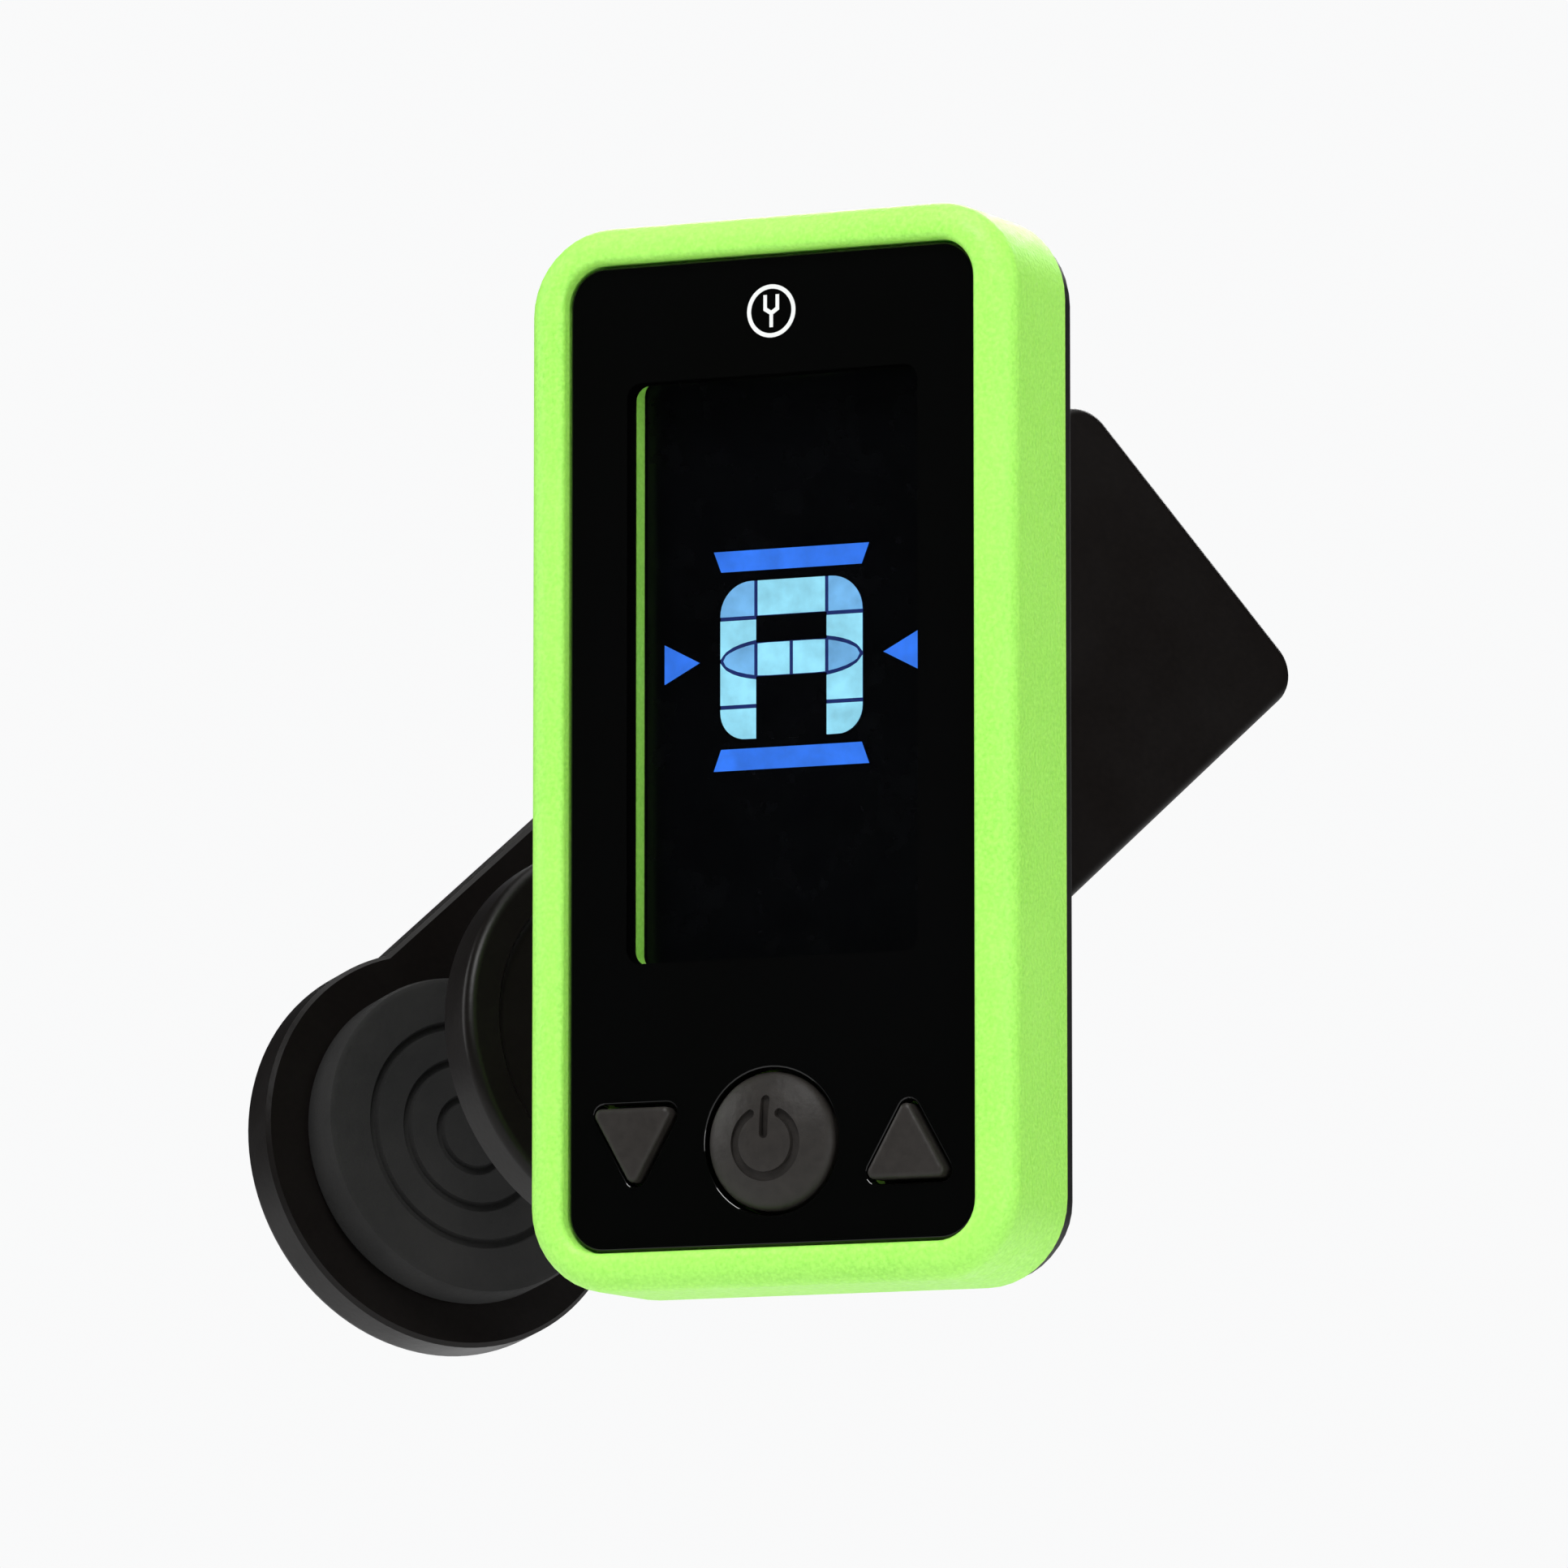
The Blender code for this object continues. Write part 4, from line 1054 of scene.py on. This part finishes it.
def make_lever(name, node, body, top, sign, ear):
    """One lever, ribs at ear to each side; the rear one has finger grooves."""
    steps = []
    for side in (-1, 1):
        rib = plate([ear_outline(sign, top)], -1.0, 1.0, 0.2, 2)
        steps.append((ADD, shaped(rib, at(0, side * ear, 0), FACING)))
    steps.append((CUT, shaped(rod(PIVOT_BORE, -12, 12), at(HINGE_A, 0, HINGE_N), FACING)))
    disc = [(0, 1.0), (10.6, 1.0), (10.35, -0.05), (10.1, -0.3), (9.8, -0.4), (0, -0.4)]
    recess = turned(disc, 96)
    if sign > 0:
        steps.append((CUT, rod(PIVOT_BORE, -6, 3)))
        steps.append((CUT, shaped(recess, at(JAW_A, 0, 0))))
    else:
        flip = Matrix.Rotation(math.pi, 4, "X")
        steps.append((CUT, shaped(recess, at(JAW_A, 0, top - LEVER_THICK), flip)))
        for k in range(6):
            slit = box_outline(0.9, LEVER_W - 7, 0.44, 6, THUMB_END - 5.0 - 2.1 * k, 0)
            groove = plate([slit], -1.0, 0.4)
            steps.append((CUT, shaped(groove, at(0, 0, top - LEVER_THICK))))
    piece(name, combine(lever_body(top, sign), steps), CLIP, body, NYLON, node)


def make_pads():
    """Round jaw pads with three ring grooves; Z 0 is the gripping face."""
    face = [(0, PAD_THICK), (9.6, PAD_THICK), (9.9, 2.9), (PAD_R, 2.6)]
    face += [(PAD_R, 0.5), (9.85, 0.15), (9.5, 0.0)]
    for middle in (6.9, 4.6, 2.3):
        for off, depth in ((0.3, 0.0), (0.18, 0.35), (-0.18, 0.35), (-0.3, 0.0)):
            face.append((middle + off, depth))
    face.append((0, 0.0))
    front = CLIP @ at(JAW_A, 0, PAD_FACE)
    rear = CLIP @ at(JAW_A, 0, PAD_FACE - JAW_GAP) @ Matrix.Rotation(math.pi, 4, "X")
    piece("front_pad", turned(face, 96), front, "clip_base", RUBBER, "fixed_pad")
    piece("rear_pad", turned(face, 96), rear, "clip_rear", RUBBER, "moving_pad")


def make_pin():
    end = 9.7
    shaft = 1.5
    outline = [(0, end + 1.0), (1.2, end + 0.98), (1.9, end + 0.85), (2.25, end + 0.5), (2.3, end + 0.15)]
    outline += [(shaft, end + 0.15), (shaft, -end - 0.15), (1.3, -end - 0.45), (1.0, -end - 0.6)]
    outline.append((0, -end - 0.6))
    place = CLIP @ at(HINGE_A, 0, HINGE_N) @ FACING
    piece("pivot_pin", turned(outline, 56), place, "clip_base", STEEL, "hinge_pin")


def make_spring():
    """Coil of wire around the hinge pin with a straight leg against each lever."""
    coil = 2.9
    gauge = 0.5
    width = 7.2
    leg = 15.0
    start = math.radians(118)
    total = 4 * 2 * math.pi + math.radians(124)
    steps = 260
    points = []
    for k in range(steps + 1):
        angle = start - total * k / steps
        y = width * (k / steps - 0.5)
        points.append(Vector((coil * math.cos(angle), y, coil * math.sin(angle))))
    rise = -LEVER_THICK - HINGE_N - gauge - 0.15
    lead = [Vector((leg, points[0].y, rise)).lerp(points[0], k / 6) for k in range(6)]
    tail = [points[-1].lerp(Vector((leg, points[-1].y, -rise)), k / 6) for k in range(1, 7)]
    path = lead + points + tail
    section = circle(gauge, 12)
    rows = []
    side = Vector((0, 1, 0))
    for k, here in enumerate(path):
        ahead = path[min(k + 1, len(path) - 1)] - path[max(k - 1, 0)]
        ahead.normalize()
        u = side.cross(ahead).normalized()
        v = ahead.cross(u)
        rows.append([here + u * x + v * y for x, y in section])
    place = CLIP @ at(HINGE_A, 0, HINGE_N)
    item = piece("spring_coil", rows_mesh(rows), place, None, SPRING, "torsion_spring")
    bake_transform(item)


# hidden pieces keep their solids and get real finishes --------------------
def dress_inside():
    green = board_green()
    white = simple("milky_guide", (0.78, 0.8, 0.8), 0.2, 0.4)
    chip = simple("moulded_chip", (0.012, 0.012, 0.013), 0.4, 0.6, 2600, 0.00002)
    strip = simple("striped_rubber", (0.2, 0.2, 0.22), 0.6, 0.8, 3000, 0.00002)
    tape = simple("foam_tape", (0.015, 0.015, 0.015), 0.7, 0.9, 2400, 0.00003)
    ceramic = simple("silvered_ceramic", (0.72, 0.7, 0.64), 0.3, 0.5)
    looks = {
        "main_board": green,
        "light_guide": white,
        "backlight_led": white,
        "mcu_chip": chip,
        "zebra_strip": strip,
        "window_tape": tape,
        "piezo_ceramic": ceramic,
        "piezo_plate": BRASS,
        "crystal": STEEL,
        "battery_contact_minus": STEEL,
        "battery_contact_plus": STEEL,
        "switch_down": STEEL,
        "switch_power": STEEL,
        "switch_up": STEEL,
    }
    for node, material in looks.items():
        kept = NODES[node].data.materials
        kept.clear()
        kept.append(material)
    cell = [(0, 1.6), (8.6, 1.6), (8.8, 1.55), (9.0, 1.4), (9.1, 1.3), (9.75, 1.3)]
    cell += [(9.95, 1.2), (10.0, 1.0), (10.0, -1.3), (9.9, -1.5), (9.7, -1.6), (0, -1.6)]
    place = HEAD @ at(0, 10.3, CELL_Z) @ FACING
    piece("button_cell", turned(cell, 80), place, "head", CELL_STEEL, "coin_cell")


# studio -------------------------------------------------------------------
def aim(item, target):
    direction = Vector(target) - item.location
    item.rotation_mode = "QUATERNION"
    item.rotation_quaternion = direction.to_track_quat("-Z", "Y")


def softbox(name, location, target, size, power):
    light = bpy.data.lights.new(name, "AREA")
    light.shape = "RECTANGLE"
    light.size = size[0]
    light.size_y = size[1]
    light.energy = power
    item = bpy.data.objects.new(name, light)
    bpy.context.scene.collection.objects.link(item)
    item.location = Vector(target) + Vector(location)
    aim(item, target)
    item.visible_camera = False


def make_floor():
    """Pale floor, lifted towards white where the camera sees it."""
    mesh = bpy.data.meshes.new("floor")
    work = bmesh.new()
    bmesh.ops.create_grid(work, x_segments=1, y_segments=1, size=6.0)
    work.to_mesh(mesh)
    work.free()
    floor = bpy.data.objects.new("floor", mesh)
    bpy.context.scene.collection.objects.link(floor)
    floor.location = (0, 0, CAD_BOX[0].z - 0.16)
    pale = simple("pale_floor", (0.8, 0.8, 0.795), 0.55, 0.75, 60, 0.00002, (0.77, 0.77, 0.765))
    nodes = pale.node_tree.nodes
    links = pale.node_tree.links
    shader = nodes["Principled BSDF"]
    shader.inputs["Emission Color"].default_value = (1.0, 1.0, 1.0, 1.0)
    lift = nodes.new("ShaderNodeMath")
    lift.operation = "MULTIPLY"
    lift.inputs[1].default_value = 0.6
    links.new(nodes.new("ShaderNodeLightPath").outputs["Is Camera Ray"], lift.inputs[0])
    links.new(lift.outputs[0], shader.inputs["Emission Strength"])
    mesh.materials.append(pale)


def make_world():
    """White behind the object, soft light on it and little to see in its reflections."""
    world = bpy.data.worlds.new("studio")
    world.use_nodes = True
    bpy.context.scene.world = world
    nodes = world.node_tree.nodes
    links = world.node_tree.links
    path = nodes.new("ShaderNodeLightPath")
    last = nodes["Background"]
    last.inputs["Color"].default_value = (0.9, 0.92, 0.95, 1)
    last.inputs["Strength"].default_value = 0.42
    for ray, colour, strength in (
        ("Is Glossy Ray", (0.5, 0.52, 0.55, 1), 0.05),
        ("Is Camera Ray", (0.97, 0.972, 0.975, 1), 0.98),
    ):
        other = nodes.new("ShaderNodeBackground")
        other.inputs["Color"].default_value = colour
        other.inputs["Strength"].default_value = strength
        mix = nodes.new("ShaderNodeMixShader")
        links.new(path.outputs[ray], mix.inputs[0])
        links.new(last.outputs[0], mix.inputs[1])
        links.new(other.outputs[0], mix.inputs[2])
        last = mix
    output = next(node for node in nodes if node.type == "OUTPUT_WORLD")
    links.new(last.outputs[0], output.inputs["Surface"])


def make_lights():
    target = HEAD @ Vector((0, 10, 0))
    softbox("key", (0.15, -0.75, 0.8), target, (0.45, 0.45), 8.0)
    softbox("side", (0.95, -0.45, -0.05), target, (0.35, 0.5), 3.4)
    softbox("fill", (-0.85, -0.3, 0.3), target, (0.35, 0.6), 2.4)
    softbox("back", (-0.25, 0.9, 0.55), target, (0.7, 0.4), 6.0)
    softbox("top", (0.0, 0.1, 1.1), target, (0.8, 0.8), 4.0)


def make_camera():
    low, high = CAD_BOX
    azimuth = math.radians(26)
    elevation = math.radians(-7)
    flat = math.cos(elevation)
    back = Vector((math.sin(azimuth) * flat, -math.cos(azimuth) * flat, math.sin(elevation)))
    distance = 0.70
    target = HEAD @ Vector((0, 0, 0))
    camera = bpy.data.cameras.new("camera")
    camera.sensor_width = 36.0
    camera.lens = camera.sensor_width * distance / FRAME_WIDTH
    camera.clip_start = 0.01
    camera.clip_end = 20
    item = bpy.data.objects.new("camera", camera)
    bpy.context.scene.collection.objects.link(item)
    item.location = target + back * distance
    aim(item, target.lerp((low + high) / 2, 0.4))
    bpy.context.scene.camera = item


make_bezel()
make_window()
make_arrow_keys()
make_power_key()
make_cell()
make_note()
make_cover()
make_door()
make_screws()
make_arm()
make_turret()
make_washers()
make_lever("front_clip_lever", "front_lever", "clip_base", -LEVER_THICK, 1, 8.7)
make_lever("rear_clip_lever", "rear_lever", "clip_rear", REAR_TOP, -1, 6.4)
make_pads()
make_pin()
make_spring()
dress_inside()
make_floor()
make_world()
make_lights()
make_camera()
bpy.context.scene.view_settings.view_transform = "Standard"
bpy.context.view_layer.update()
